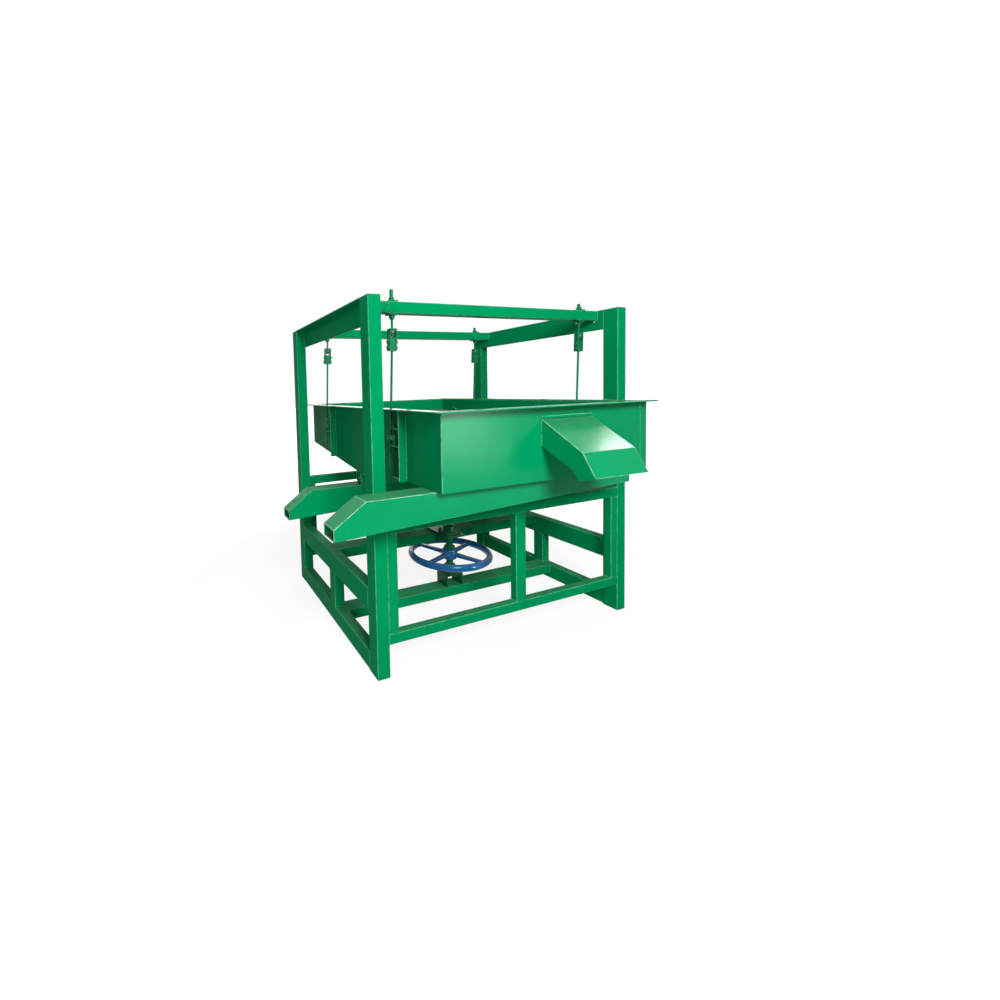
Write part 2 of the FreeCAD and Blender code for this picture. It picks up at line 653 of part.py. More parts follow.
def bearing_bolts():
    """Studs and nuts that hold both bearing flanges to their brackets."""
    solids = []
    for base_z in (LOWER_BEARING_BASE, UPPER_BEARING_BASE):
        nut_base = base_z + BEARING_FLANGE_THICKNESS
        for dx, dy in bolt_places():
            place = (SHAFT_X + dx, SHAFT_Y + dy)
            nut = hex_nut(CROSS_BOLT_HEAD_FLATS, END_NUT_HEIGHT, CROSS_BOLT_RADIUS,
                          (place[0], place[1], nut_base))
            stem_height = BEARING_FLANGE_THICKNESS + END_NUT_HEIGHT + STUD_END_LENGTH
            stem = cylinder(CROSS_BOLT_RADIUS, stem_height, (place[0], place[1], base_z))
            solids.append(stem.fuse(nut).removeSplitter())
    return compound(solids)


# Drive shaft, handwheel and crank

def drive_shaft():
    bottom = LOWER_BEARING_BASE + SHAFT_END_GAP
    shaft = cylinder(SHAFT_RADIUS, CRANK_DISC_BOTTOM - bottom, (SHAFT_X, SHAFT_Y, bottom))
    return shaft.makeChamfer(SHAFT_CHAMFER, edges_below(shaft, bottom))


def wheel_rim():
    """The rim: an oval section turned round the shaft."""
    ring_radius = (WHEEL_DIAMETER - WHEEL_RIM_WIDTH) / 2
    middle = vector(SHAFT_X + ring_radius, SHAFT_Y, WHEEL_HEIGHT)
    oval = Part.Ellipse(vector(middle.x, middle.y, middle.z + WHEEL_RIM_HEIGHT / 2),
                        vector(middle.x + WHEEL_RIM_WIDTH / 2, middle.y, middle.z), middle)
    face = Part.Face(Part.Wire(oval.toShape()))
    return face.revolve(vector(SHAFT_X, SHAFT_Y, 0), vector(0, 0, 1), 360)


def rounded_section(x, width, height):
    """A rounded bar section that stands across the x direction."""
    half_width = width / 2
    half_height = height / 2
    corner = half_height * WHEEL_SPOKE_ROUNDING
    plate = block((x, -half_width, -half_height), (x + CUT_PAST, half_width, half_height))
    plate = plate.makeFillet(corner, edges_along(plate, 0))
    return face_nearest(plate, (x, 0, 0)).OuterWire


def wheel_spoke(angle):
    """A spoke that tapers in width and height from the hub to the rim."""
    start = SHAFT_RADIUS + WHEEL_SPOKE_EMBED
    end = WHEEL_DIAMETER / 2 - WHEEL_RIM_WIDTH + WHEEL_SPOKE_EMBED
    hub_section = rounded_section(start, WHEEL_SPOKE_HUB_WIDTH, WHEEL_SPOKE_HUB_HEIGHT)
    rim_section = rounded_section(end, WHEEL_SPOKE_RIM_WIDTH, WHEEL_SPOKE_RIM_HEIGHT)
    spoke = Part.makeLoft([hub_section, rim_section], True)
    spoke.rotate(vector(0, 0, 0), vector(0, 0, 1), angle)
    spoke.translate(vector(SHAFT_X, SHAFT_Y, WHEEL_HEIGHT))
    return spoke


def handwheel():
    """A cast wheel: oval rim, tapered spokes and a round hub on the shaft."""
    bottom = WHEEL_HEIGHT - WHEEL_HUB_HEIGHT / 2
    hub = cylinder(WHEEL_HUB_RADIUS, WHEEL_HUB_HEIGHT, (SHAFT_X, SHAFT_Y, bottom))
    hub = hub.makeFillet(WHEEL_HUB_EDGE_RADIUS,
                         [e for e in hub.Edges if e.Curve.TypeId == "Part::GeomCircle"])
    step = 360.0 / WHEEL_SPOKE_COUNT
    spokes = [wheel_spoke(WHEEL_SPOKE_TURN + step * i) for i in range(WHEEL_SPOKE_COUNT)]
    wheel = wheel_rim().fuse(spokes + [hub])
    return wheel.cut(drill(SHAFT_RADIUS, (SHAFT_X, SHAFT_Y), bottom, bottom + WHEEL_HUB_HEIGHT))


def wheel_collar():
    """A collar above the hub, pinned to the shaft by a set screw."""
    base = WHEEL_HEIGHT + WHEEL_HUB_HEIGHT / 2
    ring = cylinder(COLLAR_RADIUS, COLLAR_HEIGHT, (SHAFT_X, SHAFT_Y, base))
    ring = ring.cut(drill(SHAFT_RADIUS, (SHAFT_X, SHAFT_Y), base, base + COLLAR_HEIGHT))
    middle = base + COLLAR_HEIGHT / 2
    screw = cylinder(SET_SCREW_RADIUS, SET_SCREW_LENGTH,
                     (SHAFT_X, SHAFT_Y - SHAFT_RADIUS - SET_SCREW_INSET, middle), (0, -1, 0))
    return ring.fuse(screw).removeSplitter()


def crank():
    """The crank disc on the shaft's end, with its pin off centre."""
    disc = cylinder(CRANK_DISC_RADIUS, CRANK_DISC_HEIGHT, (SHAFT_X, SHAFT_Y, CRANK_DISC_BOTTOM))
    pin_top = DRIVE_PLATE_BOTTOM - CRANK_PIN_GAP
    pin = cylinder(CRANK_PIN_RADIUS, pin_top - CRANK_DISC_TOP, (CRANK_PIN_X, SHAFT_Y, CRANK_DISC_TOP))
    whole = disc.fuse(pin).removeSplitter()
    return whole.makeChamfer(SHAFT_CHAMFER, edges_above(whole, pin_top))


# Tray

def bottom_line(x, start_y, end_y):
    """The folded underside of the tray's bottom between two places, as points at one x."""
    folds = [y for y in BOTTOM_FOLDS_Y if start_y < y < end_y]
    return [(x, y, tray_bottom_at(y)) for y in [start_y] + folds + [end_y]]


def tray_side_wall(side):
    """A side wall whose lower edge follows the folded bottom."""
    x0 = TRAY_LEFT if side < 0 else TRAY_RIGHT - TRAY_SHEET
    outline = bottom_line(x0, TRAY_INNER_FRONT, TRAY_INNER_REAR)
    top = TRAY_RIM_TOP - RIM_THICKNESS
    outline += [(x0, TRAY_INNER_REAR, top), (x0, TRAY_INNER_FRONT, top)]
    return extruded(outline, (TRAY_SHEET, 0, 0))


def tray_front_wall():
    """The front wall, cut open behind the hood."""
    wall = block((TRAY_LEFT, TRAY_FRONT, TRAY_FRONT_BOTTOM),
                 (TRAY_RIGHT, TRAY_INNER_FRONT, TRAY_RIM_TOP - RIM_THICKNESS))
    margin = HOOD_OPENING_MARGIN
    opening = block((HOOD_LEFT + margin, TRAY_FRONT - CUT_PAST, HOOD_WALL_BOTTOM + margin),
                    (HOOD_LEFT + HOOD_WIDTH - margin, TRAY_INNER_FRONT + CUT_PAST, HOOD_TOP - margin))
    return wall.cut(opening)


def tray_rear_wall():
    return block((TRAY_LEFT, TRAY_INNER_REAR, TRAY_REAR_BOTTOM),
                 (TRAY_RIGHT, TRAY_REAR, TRAY_RIM_TOP - RIM_THICKNESS))


def tray_corner_flange():
    """The upright strip that stands out at the front right corner."""
    return block((TRAY_RIGHT, TRAY_FRONT, TRAY_FRONT_BOTTOM),
                 (TRAY_RIGHT + CORNER_FLANGE_WIDTH, TRAY_FRONT + CORNER_FLANGE_THICKNESS,
                  TRAY_RIM_TOP - RIM_THICKNESS))


def rim_bar(inner_start, inner_end, outer_start, outer_end):
    """One mitred flat bar of the rim, given the ends of its inner and outer edges."""
    z = TRAY_RIM_TOP - RIM_THICKNESS
    outline = [(p[0], p[1], z) for p in (inner_start, inner_end, outer_end, outer_start)]
    return extruded(outline, (0, 0, RIM_THICKNESS))


def tray_rim():
    """Four mitred bars round the tray's edge, drilled for the hanger rods."""
    inner = [(TRAY_LEFT, TRAY_FRONT), (TRAY_RIGHT, TRAY_FRONT),
             (TRAY_RIGHT, TRAY_REAR), (TRAY_LEFT, TRAY_REAR)]
    outer = [(TRAY_LEFT - RIM_WIDTH, TRAY_FRONT - RIM_WIDTH),
             (TRAY_RIGHT + RIM_WIDTH, TRAY_FRONT - RIM_WIDTH),
             (TRAY_RIGHT + RIM_WIDTH, TRAY_REAR + RIM_WIDTH),
             (TRAY_LEFT - RIM_WIDTH, TRAY_REAR + RIM_WIDTH)]
    inset = [(TRAY_LEFT + TRAY_SHEET, TRAY_INNER_FRONT), (TRAY_RIGHT - TRAY_SHEET, TRAY_INNER_FRONT),
             (TRAY_RIGHT - TRAY_SHEET, TRAY_INNER_REAR), (TRAY_LEFT + TRAY_SHEET, TRAY_INNER_REAR)]
    bars = []
    for i in range(len(inner)):
        following = (i + 1) % len(inner)
        bars.append(rim_bar(inset[i], inset[following], outer[i], outer[following]))
    for name, side, y in HANGERS:
        hole = drill(RIM_HOLE_RADIUS, (rod_foot_x(side), y), TRAY_RIM_TOP - RIM_THICKNESS, TRAY_RIM_TOP)
        bars = [bar.cut(hole) for bar in bars]
    return compound(bars)


def outlet(middle_y, bottom, top, margin=0.0):
    """The space of a drop slot across the tray's bottom, widened by a margin."""
    reach = OUTLET_DEPTH / 2 + margin
    return block((TRAY_LEFT + OUTLET_INSET_X - margin, middle_y - reach, bottom),
                 (TRAY_RIGHT - OUTLET_INSET_X + margin, middle_y + reach, top))


def bottom_sheet(start_y, end_y):
    """One sheet of the tray's bottom from wall to wall, folded where the bottom turns."""
    lower = bottom_line(TRAY_LEFT + TRAY_SHEET, start_y, end_y)
    upper = [(x, y, z + TRAY_SHEET) for x, y, z in lower]
    return extruded(lower + upper[::-1], (TRAY_RIGHT - TRAY_LEFT - 2 * TRAY_SHEET, 0, 0))


def tray_bottom_pan():
    """The bottom between the walls: folded sheets, and short end sheets that leave the drop slots."""
    sheets = []
    start_y = TRAY_INNER_FRONT
    for middle_y in (FRONT_OUTLET_Y, REAR_OUTLET_Y):
        slot_front = middle_y - OUTLET_DEPTH / 2
        slot_rear = middle_y + OUTLET_DEPTH / 2
        sheets.append(bottom_sheet(start_y, slot_front))
        ends = bottom_sheet(slot_front, slot_rear)
        sheets += ends.cut(outlet(middle_y, TRAY_SEAT_BOTTOM - CUT_PAST, TRAY_RIM_TOP)).Solids
        start_y = slot_rear
    sheets.append(bottom_sheet(start_y, TRAY_INNER_REAR))
    return compound(sheets)


def deck_height_at(y):
    """Height of the deck's underside, which falls towards the front."""
    share = (y - TRAY_INNER_FRONT) / (TRAY_INNER_REAR - TRAY_INNER_FRONT)
    return DECK_FRONT_HEIGHT + share * (DECK_REAR_HEIGHT - DECK_FRONT_HEIGHT)


def sloped_slab(x0, x1, y0, y1, drop, rise):
    """A slab that follows the deck's slope, from below it by drop to above it by rise."""
    outline = [(x0, y0, deck_height_at(y0) - drop), (x0, y1, deck_height_at(y1) - drop),
               (x0, y1, deck_height_at(y1) + rise), (x0, y0, deck_height_at(y0) + rise)]
    return extruded(outline, (x1 - x0, 0, 0))


def sieve_deck():
    gap = TRAY_SHEET + DECK_EDGE_GAP
    return sloped_slab(TRAY_LEFT + gap, TRAY_RIGHT - gap,
                       TRAY_FRONT + gap, TRAY_REAR - gap, 0, DECK_THICKNESS)


def deck_supports():
    """Ledges along the side walls and cross bars under the deck."""
    left = TRAY_LEFT + TRAY_SHEET
    right = TRAY_RIGHT - TRAY_SHEET
    solids = []
    for x0 in (left, right - DECK_LEDGE_THICKNESS):
        solids.append(sloped_slab(x0, x0 + DECK_LEDGE_THICKNESS, TRAY_INNER_FRONT, TRAY_INNER_REAR,
                                  DECK_LEDGE_WIDTH, 0))
    bar_left = left + DECK_LEDGE_THICKNESS
    bar_right = right - DECK_LEDGE_THICKNESS
    span = TRAY_INNER_REAR - TRAY_INNER_FRONT
    for i in range(DECK_BAR_COUNT):
        y0 = TRAY_INNER_FRONT + span * (i + 0.5) / DECK_BAR_COUNT
        solids.append(sloped_slab(bar_left, bar_right, y0, y0 + DECK_BAR_WIDTH, DECK_BAR_HEIGHT, 0))
    return compound(solids)


def deck_clamps():
    """Wedge blocks on the side walls that press the deck down."""
    solids = []
    span = TRAY_INNER_REAR - TRAY_INNER_FRONT
    for i in range(DECK_CLAMP_COUNT):
        y0 = TRAY_INNER_FRONT + span * (i + 0.5) / DECK_CLAMP_COUNT
        base = deck_height_at(y0) + DECK_THICKNESS
        far = deck_height_at(y0 + DECK_CLAMP_LENGTH) + DECK_THICKNESS
        outline = [(0, y0, base), (0, y0 + DECK_CLAMP_LENGTH, far),
                   (0, y0 + DECK_CLAMP_LENGTH, base + DECK_CLAMP_HEIGHT),
                   (0, y0, base + DECK_CLAMP_HEIGHT / 2)]
        wedge = extruded(outline, (DECK_CLAMP_WIDTH, 0, 0))
        left = wedge.copy()
        left.translate(vector(TRAY_LEFT + TRAY_SHEET, 0, 0))
        wedge.translate(vector(TRAY_RIGHT - TRAY_SHEET - DECK_CLAMP_WIDTH, 0, 0))
        solids += [left, wedge]
    return compound(solids)


def discharge_hood():
    """A folded sheet hood, open to the tray behind it and at its mouth below."""
    front = TRAY_FRONT
    outline = [(front, HOOD_TOP), (front - HOOD_FOLD_REACH, HOOD_FOLD_HEIGHT),
               (front - HOOD_MOUTH_REACH, HOOD_MOUTH_HEIGHT), (front - HOOD_LIP_REACH, HOOD_LIP_HEIGHT),
               (front - HOOD_FLOOR_REACH, HOOD_FLOOR_HEIGHT), (front, HOOD_WALL_BOTTOM)]
    solid = extruded([(HOOD_LEFT, y, z) for y, z in outline], (HOOD_WIDTH, 0, 0))
    middle_x = HOOD_LEFT + HOOD_WIDTH / 2
    behind = face_nearest(solid, (middle_x, front, (HOOD_TOP + HOOD_WALL_BOTTOM) / 2))
    mouth = face_nearest(solid, (middle_x, front - (HOOD_MOUTH_REACH + HOOD_LIP_REACH) / 2,
                                 (HOOD_MOUTH_HEIGHT + HOOD_LIP_HEIGHT) / 2))
    return solid.makeThickness([behind, mouth], -TRAY_SHEET, TOUCH)


def hood_strip():
    """A flat strip that covers the joint between the hood and the front wall."""
    return block((HOOD_LEFT, TRAY_FRONT - HOOD_STRIP_THICKNESS, HOOD_TOP),
                 (HOOD_LEFT + HOOD_WIDTH, TRAY_FRONT, HOOD_TOP + HOOD_STRIP_HEIGHT))


def trough(mouth_x, end_x, front_y, mouth_bottom, top):
    """A closed sheet trough that falls to an open mouth under a sloping nose."""
    end_bottom = mouth_bottom + TROUGH_FALL * (end_x - mouth_x)
    outline = [(mouth_x, mouth_bottom), (end_x, end_bottom), (end_x, top),
               (mouth_x + TROUGH_NOSE_LENGTH, top), (mouth_x, mouth_bottom + TROUGH_MOUTH_HEIGHT)]
    solid = extruded([(x, front_y, z) for x, z in outline], (0, TROUGH_WIDTH, 0))
    mouth = face_nearest(solid, (mouth_x, front_y + TROUGH_WIDTH / 2,
                                 mouth_bottom + TROUGH_MOUTH_HEIGHT / 2))
    shell = solid.makeThickness([mouth], -TROUGH_SHEET, TOUCH)
    inlet = outlet(front_y + TROUGH_WIDTH / 2, top - TROUGH_SHEET - CUT_PAST, top + CUT_PAST,
                   CHUTE_SHEET + CHUTE_CLEARANCE)
    return shell.cut(inlet)


def front_trough():
    return trough(FRONT_TROUGH_MOUTH_X, FRONT_TROUGH_END_X, FRONT_TROUGH_FRONT_Y,
                  FRONT_TROUGH_MOUTH_BOTTOM, TRAY_FRONT_BOTTOM)


def rear_trough():
    return trough(REAR_TROUGH_MOUTH_X, REAR_TROUGH_END_X, REAR_TROUGH_FRONT_Y,
                  REAR_TROUGH_MOUTH_BOTTOM, REAR_TROUGH_TOP)


def rear_chute():
    """A sheet sleeve welded under the bottom's rear slot, reaching into the rear trough."""
    x0 = TRAY_LEFT + OUTLET_INSET_X - CHUTE_SHEET
    x1 = TRAY_RIGHT - OUTLET_INSET_X + CHUTE_SHEET
    y0 = REAR_OUTLET_Y - OUTLET_DEPTH / 2 - CHUTE_SHEET
    y1 = REAR_OUTLET_Y + OUTLET_DEPTH / 2 + CHUTE_SHEET
    bottom = REAR_TROUGH_TOP - CHUTE_ENTRY
    outline = [(x0, y0, bottom), (x0, y1, bottom),
               (x0, y1, tray_bottom_at(y1)), (x0, y0, tray_bottom_at(y0))]
    sleeve = extruded(outline, (x1 - x0, 0, 0))
    return sleeve.cut(outlet(REAR_OUTLET_Y, bottom - CUT_PAST, TRAY_RIM_TOP))


def link_places():
    """The x of each link that hangs the rear trough."""
    left = TRAY_LEFT + LINK_END_INSET
    right = REAR_TROUGH_END_X - LINK_END_INSET
    return [left, left + LINK_SPACING, right - LINK_SPACING, right]


def link_ring(x, y, bottom, top):
    """An oval ring of round bar that stands across the y direction."""
    half = LINK_WIDTH / 2 - LINK_BAR_RADIUS
    low = bottom + half
    high = top - half
    right_side = Part.makeLine(vector(x + half, y, low), vector(x + half, y, high))
    under = Part.Arc(vector(x - half, y, low), vector(x, y, bottom), vector(x + half, y, low)).toShape()
    over = Part.Arc(vector(x + half, y, high), vector(x, y, top), vector(x - half, y, high)).toShape()
    start = vector(x - half, y, (low + high) / 2)
    path = Part.Wire([Part.makeLine(start, vector(x - half, y, low)), under, right_side, over,
                      Part.makeLine(vector(x - half, y, high), start)])
    section = Part.Wire(Part.makeCircle(LINK_BAR_RADIUS, start, vector(0, 0, 1)))
    return path.makePipeShell([section], True, False)


def link_tab(x, y, front_foot, rear_foot, tip):
    """A drilled tab between its foot, which may slope, and its level tip."""
    x0 = x - LINK_TAB_THICKNESS / 2
    y0 = y - LINK_TAB_WIDTH / 2
    y1 = y + LINK_TAB_WIDTH / 2
    tab = extruded([(x0, y0, tip), (x0, y1, tip), (x0, y1, rear_foot), (x0, y0, front_foot)],
                   (LINK_TAB_THICKNESS, 0, 0))
    hole_z = (front_foot + tip) / 2
    return tab.cut(drill_across(LINK_HOLE_RADIUS, x0, x0 + LINK_TAB_THICKNESS, y, hole_z))


def tray_link_foot(y):
    """Height of the sloping bottom at the front edge of an upper tab."""
    return tray_bottom_at(y - LINK_TAB_WIDTH / 2)


def trough_link_tabs():
    y = REAR_OUTLET_Y
    front_foot = tray_link_foot(y)
    rear_foot = tray_bottom_at(y + LINK_TAB_WIDTH / 2)
    solids = []
    for x in link_places():
        solids.append(link_tab(x, y, front_foot, rear_foot, front_foot - LINK_TAB_HEIGHT))
        solids.append(link_tab(x, y, REAR_TROUGH_TOP, REAR_TROUGH_TOP, REAR_TROUGH_TOP + LINK_TAB_HEIGHT))
    return solids


def trough_links():
    y = REAR_OUTLET_Y
    slack = LINK_HOLE_RADIUS - LINK_BAR_RADIUS - LINK_SEAT_GAP
    top = tray_link_foot(y) - LINK_TAB_HEIGHT / 2 - slack
    bottom = REAR_TROUGH_TOP + LINK_TAB_HEIGHT / 2 + slack
    return [link_ring(x, y, bottom, top) for x in link_places()]


def drive_beam():
    """A channel under the tray that carries the crank pin's bearing."""
    return channel_along_x(TRAY_LEFT, TRAY_RIGHT, SHAFT_Y, DRIVE_BEAM_WIDTH,
                           TRAY_SEAT_BOTTOM, DRIVE_BEAM_HEIGHT)


def crank_pin_bearing():
    """A mounting plate and a turned housing that runs on the crank pin."""
    half = DRIVE_PLATE_LENGTH / 2
    plate = block((CRANK_PIN_X - half, SHAFT_Y - DRIVE_BEAM_WIDTH / 2, DRIVE_PLATE_BOTTOM),
                  (CRANK_PIN_X + half, SHAFT_Y + DRIVE_BEAM_WIDTH / 2, DRIVE_BEAM_BOTTOM))
    edge = BEARING_EDGE_RADIUS
    body = revolved([(0, CRANK_HOUSING_BOTTOM),
                     (CRANK_HOUSING_RADIUS - edge, CRANK_HOUSING_BOTTOM),
                     (CRANK_HOUSING_RADIUS, CRANK_HOUSING_BOTTOM + edge),
                     (CRANK_HOUSING_RADIUS, DRIVE_PLATE_BOTTOM - edge),
                     (CRANK_HOUSING_RADIUS + edge, DRIVE_PLATE_BOTTOM),
                     (0, DRIVE_PLATE_BOTTOM)], (CRANK_PIN_X, SHAFT_Y))
    bore = cylinder(CRANK_PIN_RADIUS + RUNNING_CLEARANCE, CRANK_HOUSING_HEIGHT + CUT_PAST,
                    (CRANK_PIN_X, SHAFT_Y, CRANK_HOUSING_BOTTOM - CUT_PAST))
    return plate.fuse(body).cut(bore)


# Hangers, on the frame

def stud(side, y, top):
    """A hanger stud: thick through the rail, thin through the ball nut."""
    foot = PIVOT_HEIGHT - BALL_BOTTOM_DROP - END_NUT_GAP - END_NUT_HEIGHT - STUD_END_LENGTH
    centre = (stud_x(side), y)
    thick = cylinder(STUD_RADIUS, top - STUD_NECK_TOP, (centre[0], centre[1], STUD_NECK_TOP))
    thick = thick.makeChamfer(SHAFT_CHAMFER, edges_above(thick, top))
    neck = cylinder(STUD_NECK_RADIUS, STUD_NECK_TOP - foot, (centre[0], centre[1], foot))
    return thick.fuse(neck)


def hanger_studs():
    solids = []
    for name, side, y in HANGERS:
        rise = TALL_STUD_RISE if name == "front_left" else STUD_RISE
        solids.append(stud(side, y, FRAME_HEIGHT + rise))
    return compound(solids)


def hanger_nuts():
    """Nuts above and below each rail, and one that holds each ball nut up."""
    above = FRAME_HEIGHT + PLATE_WASHER_THICKNESS
    below = TOP_RAIL_BOTTOM - PLATE_WASHER_THICKNESS - STUD_NUT_HEIGHT
    end = PIVOT_HEIGHT - BALL_BOTTOM_DROP - END_NUT_GAP - END_NUT_HEIGHT
    solids = []
    for name, side, y in HANGERS:
        for base in (above, below):
            solids.append(hex_nut(STUD_NUT_FLATS, STUD_NUT_HEIGHT, STUD_RADIUS, (stud_x(side), y, base)))
        solids.append(hex_nut(END_NUT_FLATS, END_NUT_HEIGHT, STUD_NECK_RADIUS, (stud_x(side), y, end)))
    return solids


def hanger_plate_washers():
    half = PLATE_WASHER_SIZE / 2
    solids = []
    for name, side, y in HANGERS:
        x = stud_x(side)
        for base in (FRAME_HEIGHT, TOP_RAIL_BOTTOM - PLATE_WASHER_THICKNESS):
            plate = block((x - half, y - half, base), (x + half, y + half, base + PLATE_WASHER_THICKNESS))
            hole = drill(STUD_RADIUS + STUD_HOLE_CLEARANCE, (x, y), base, base + PLATE_WASHER_THICKNESS)
            solids.append(plate.cut(hole))
    return solids


# Hangers, moving pieces. Each is drawn hanging straight down from the pivot at the origin.

def ball_nut():
    """A round nut with a ball face, free to turn on the stud's neck."""
    ball = Part.makeSphere(BALL_RADIUS)
    past = BALL_RADIUS + CUT_PAST
    under = block((-past, -past, -past), (past, past, -BALL_BOTTOM_DROP))
    bore = drill(STUD_NECK_RADIUS + RUNNING_CLEARANCE, (0, 0), -BALL_RADIUS, BALL_RADIUS)
    return ball.cut(under).cut(bore)


def clevis():
    """A folded strap: a bridge with a ball seat on top and two side straps."""
    outside = CLEVIS_HALF_GAP + CLEVIS_STRAP_THICKNESS
    half_depth = CLEVIS_DEPTH / 2
    outer = block((-outside, -half_depth, -CLEVIS_DROP), (outside, half_depth, CLEVIS_TOP_RISE))
    top_edges = [e for e in edges_along(outer, 1) if e.BoundBox.ZMin > CLEVIS_TOP_RISE - TOUCH]
    outer = outer.makeFillet(CLEVIS_EDGE_RADIUS, top_edges)
    inner = block((-CLEVIS_HALF_GAP, -half_depth - CUT_PAST, -CLEVIS_DROP - CUT_PAST),
                  (CLEVIS_HALF_GAP, half_depth + CUT_PAST, CLEVIS_SEAT_RISE))
    strap = outer.cut(inner)
    strap = strap.cut(Part.makeSphere(BALL_RADIUS + BALL_SEAT_GAP))
    strap = strap.cut(drill(CLEVIS_HOLE_RADIUS, (0, 0), 0, CLEVIS_TOP_RISE))
    for drop in CROSS_BOLT_DROPS:
        strap = strap.cut(drill_across(CROSS_BOLT_RADIUS + BOLT_HOLE_GAP, -outside, outside, 0, -drop))
    return strap


def cross_bolt(drop):
    """A bolt across the straps with its head on one side and its nut on the other."""
    outside = CLEVIS_HALF_GAP + CLEVIS_STRAP_THICKNESS
    stem_length = 2 * outside + CROSS_BOLT_HEAD_HEIGHT + STUD_END_LENGTH
    stem = cylinder(CROSS_BOLT_RADIUS, stem_length, (0, 0, -outside))
    head = hexagon_prism(CROSS_BOLT_HEAD_FLATS, CROSS_BOLT_HEAD_HEIGHT,
                         (0, 0, -outside - CROSS_BOLT_HEAD_HEIGHT))
    nut = hexagon_prism(CROSS_BOLT_HEAD_FLATS, CROSS_BOLT_HEAD_HEIGHT, (0, 0, outside))
    bolt = stem.fuse([head, nut]).removeSplitter()
    bolt.rotate(vector(0, 0, 0), vector(0, 1, 0), 90)
    bolt.translate(vector(0, 0, -drop))
    return bolt


def hanger_rod():
    """A rod with a square eye above, crossed by two bolts, and two clamp nuts below."""
    half = CLEVIS_HALF_GAP - ROD_EYE_SIDE_GAP
    half_depth = ROD_EYE_DEPTH / 2
    eye = block((-half, -half_depth, -CLEVIS_DROP), (half, half_depth, -ROD_EYE_DROP))
    for drop in CROSS_BOLT_DROPS:
        eye = eye.cut(drill_across(CROSS_BOLT_RADIUS + BOLT_HOLE_GAP, -half, half, 0, -drop))
    length = ROD_LENGTH + ROD_TAIL_LENGTH
    rod = cylinder(ROD_RADIUS, length - CLEVIS_DROP, (0, 0, -length))
    rod = rod.makeChamfer(SHAFT_CHAMFER / 2, edges_below(rod, -length))
    reach = CLAMP_THICKNESS / 2 + CLAMP_FACE_GAP
    upper_nut = hexagon_prism(CLAMP_NUT_FLATS, CLAMP_NUT_HEIGHT, (0, 0, -ROD_LENGTH + reach))
    lower_nut = hexagon_prism(CLAMP_NUT_FLATS, CLAMP_NUT_HEIGHT,
                              (0, 0, -ROD_LENGTH - reach - CLAMP_NUT_HEIGHT))
    return eye.fuse([rod, upper_nut, lower_nut])


def hung(shape, side, y):
    """A hanger piece leaned to its rest pose and put under its stud."""
    placed = shape.copy()
    placed.rotate(vector(0, 0, 0), vector(0, 1, 0), ROD_TILT)
    placed.translate(vector(stud_x(side), y, PIVOT_HEIGHT))
    return placed


def placed_ball(side, y):
    ball = ball_nut()
    ball.translate(vector(stud_x(side), y, PIVOT_HEIGHT))
    return ball


# Hanger brackets on the tray

def hanger_bracket(side, y):
    """An angle up the side wall with two shelves that hold the clamp's pin."""
    wall = tray_wall_x(side)
    stiff_y = y - STIFFENER_OFFSET_Y
    bottom = max(tray_bottom_at(stiff_y), tray_bottom_at(stiff_y + STIFFENER_WIDTH))
    top = TRAY_RIM_TOP - RIM_THICKNESS

    def outward(low_y, high_y, low_z, high_z, start, reach):
        near = wall + side * start
        far = wall + side * reach
        return block((min(near, far), low_y, low_z), (max(near, far), high_y, high_z))

    back = outward(stiff_y, stiff_y + STIFFENER_WIDTH, bottom, top, 0, STIFFENER_THICKNESS)
    fin = outward(stiff_y, stiff_y + STIFFENER_THICKNESS, bottom, top, 0, BRACKET_REACH)
    parts = [fin]
    for height in (LOWER_SHELF_HEIGHT, UPPER_SHELF_HEIGHT):
        shelf = outward(stiff_y, y - SHELF_END_GAP, height, height + SHELF_THICKNESS, 0, BRACKET_REACH)
        hole = drill(PIN_RADIUS + BOLT_HOLE_GAP, (rod_foot_x(side), y - PIN_OFFSET_Y),
                     height, height + SHELF_THICKNESS)
        parts.append(shelf.cut(hole))
    return back.fuse(parts).removeSplitter()


def bracket_pin(side, y):
    """An upright bolt through both shelves, with a head above and a nut below."""
    centre = (rod_foot_x(side), y - PIN_OFFSET_Y)
    bottom = LOWER_SHELF_HEIGHT - PIN_OVERHANG
    top = UPPER_SHELF_HEIGHT + SHELF_THICKNESS
    stem = cylinder(PIN_RADIUS, top - bottom, (centre[0], centre[1], bottom))
    head = hexagon_prism(PIN_NUT_FLATS, PIN_NUT_HEIGHT, (centre[0], centre[1], top))
    nut = hexagon_prism(PIN_NUT_FLATS, PIN_NUT_HEIGHT,
                        (centre[0], centre[1], LOWER_SHELF_HEIGHT - PIN_NUT_HEIGHT))
    return stem.fuse([head, nut]).removeSplitter()


def rod_clamp(side, y):
    """A two-eyed block: one eye on the bracket's pin, the other round the rod."""
    x = rod_foot_x(side)
    base = CLAMP_HEIGHT - CLAMP_THICKNESS / 2
    top = base + CLAMP_THICKNESS
    pin_y = y - PIN_OFFSET_Y
    outer_radius = ROD_RADIUS + CLAMP_ROD_CLEARANCE + CLAMP_EYE_WALL
    half_neck = outer_radius * CLAMP_NECK_SHARE
    rod_eye = cylinder(outer_radius, CLAMP_THICKNESS, (x, y, base))
    pin_eye = cylinder(outer_radius, CLAMP_THICKNESS, (x, pin_y, base))
    neck = block((x - half_neck, pin_y, base), (x + half_neck, y, top))
    clamp = rod_eye.fuse([pin_eye, neck]).removeSplitter()
    clamp = clamp.cut(drill(ROD_RADIUS + CLAMP_ROD_CLEARANCE, (x, y), base, top))
    return clamp.cut(drill(PIN_RADIUS + BOLT_HOLE_GAP, (x, pin_y), base, top))


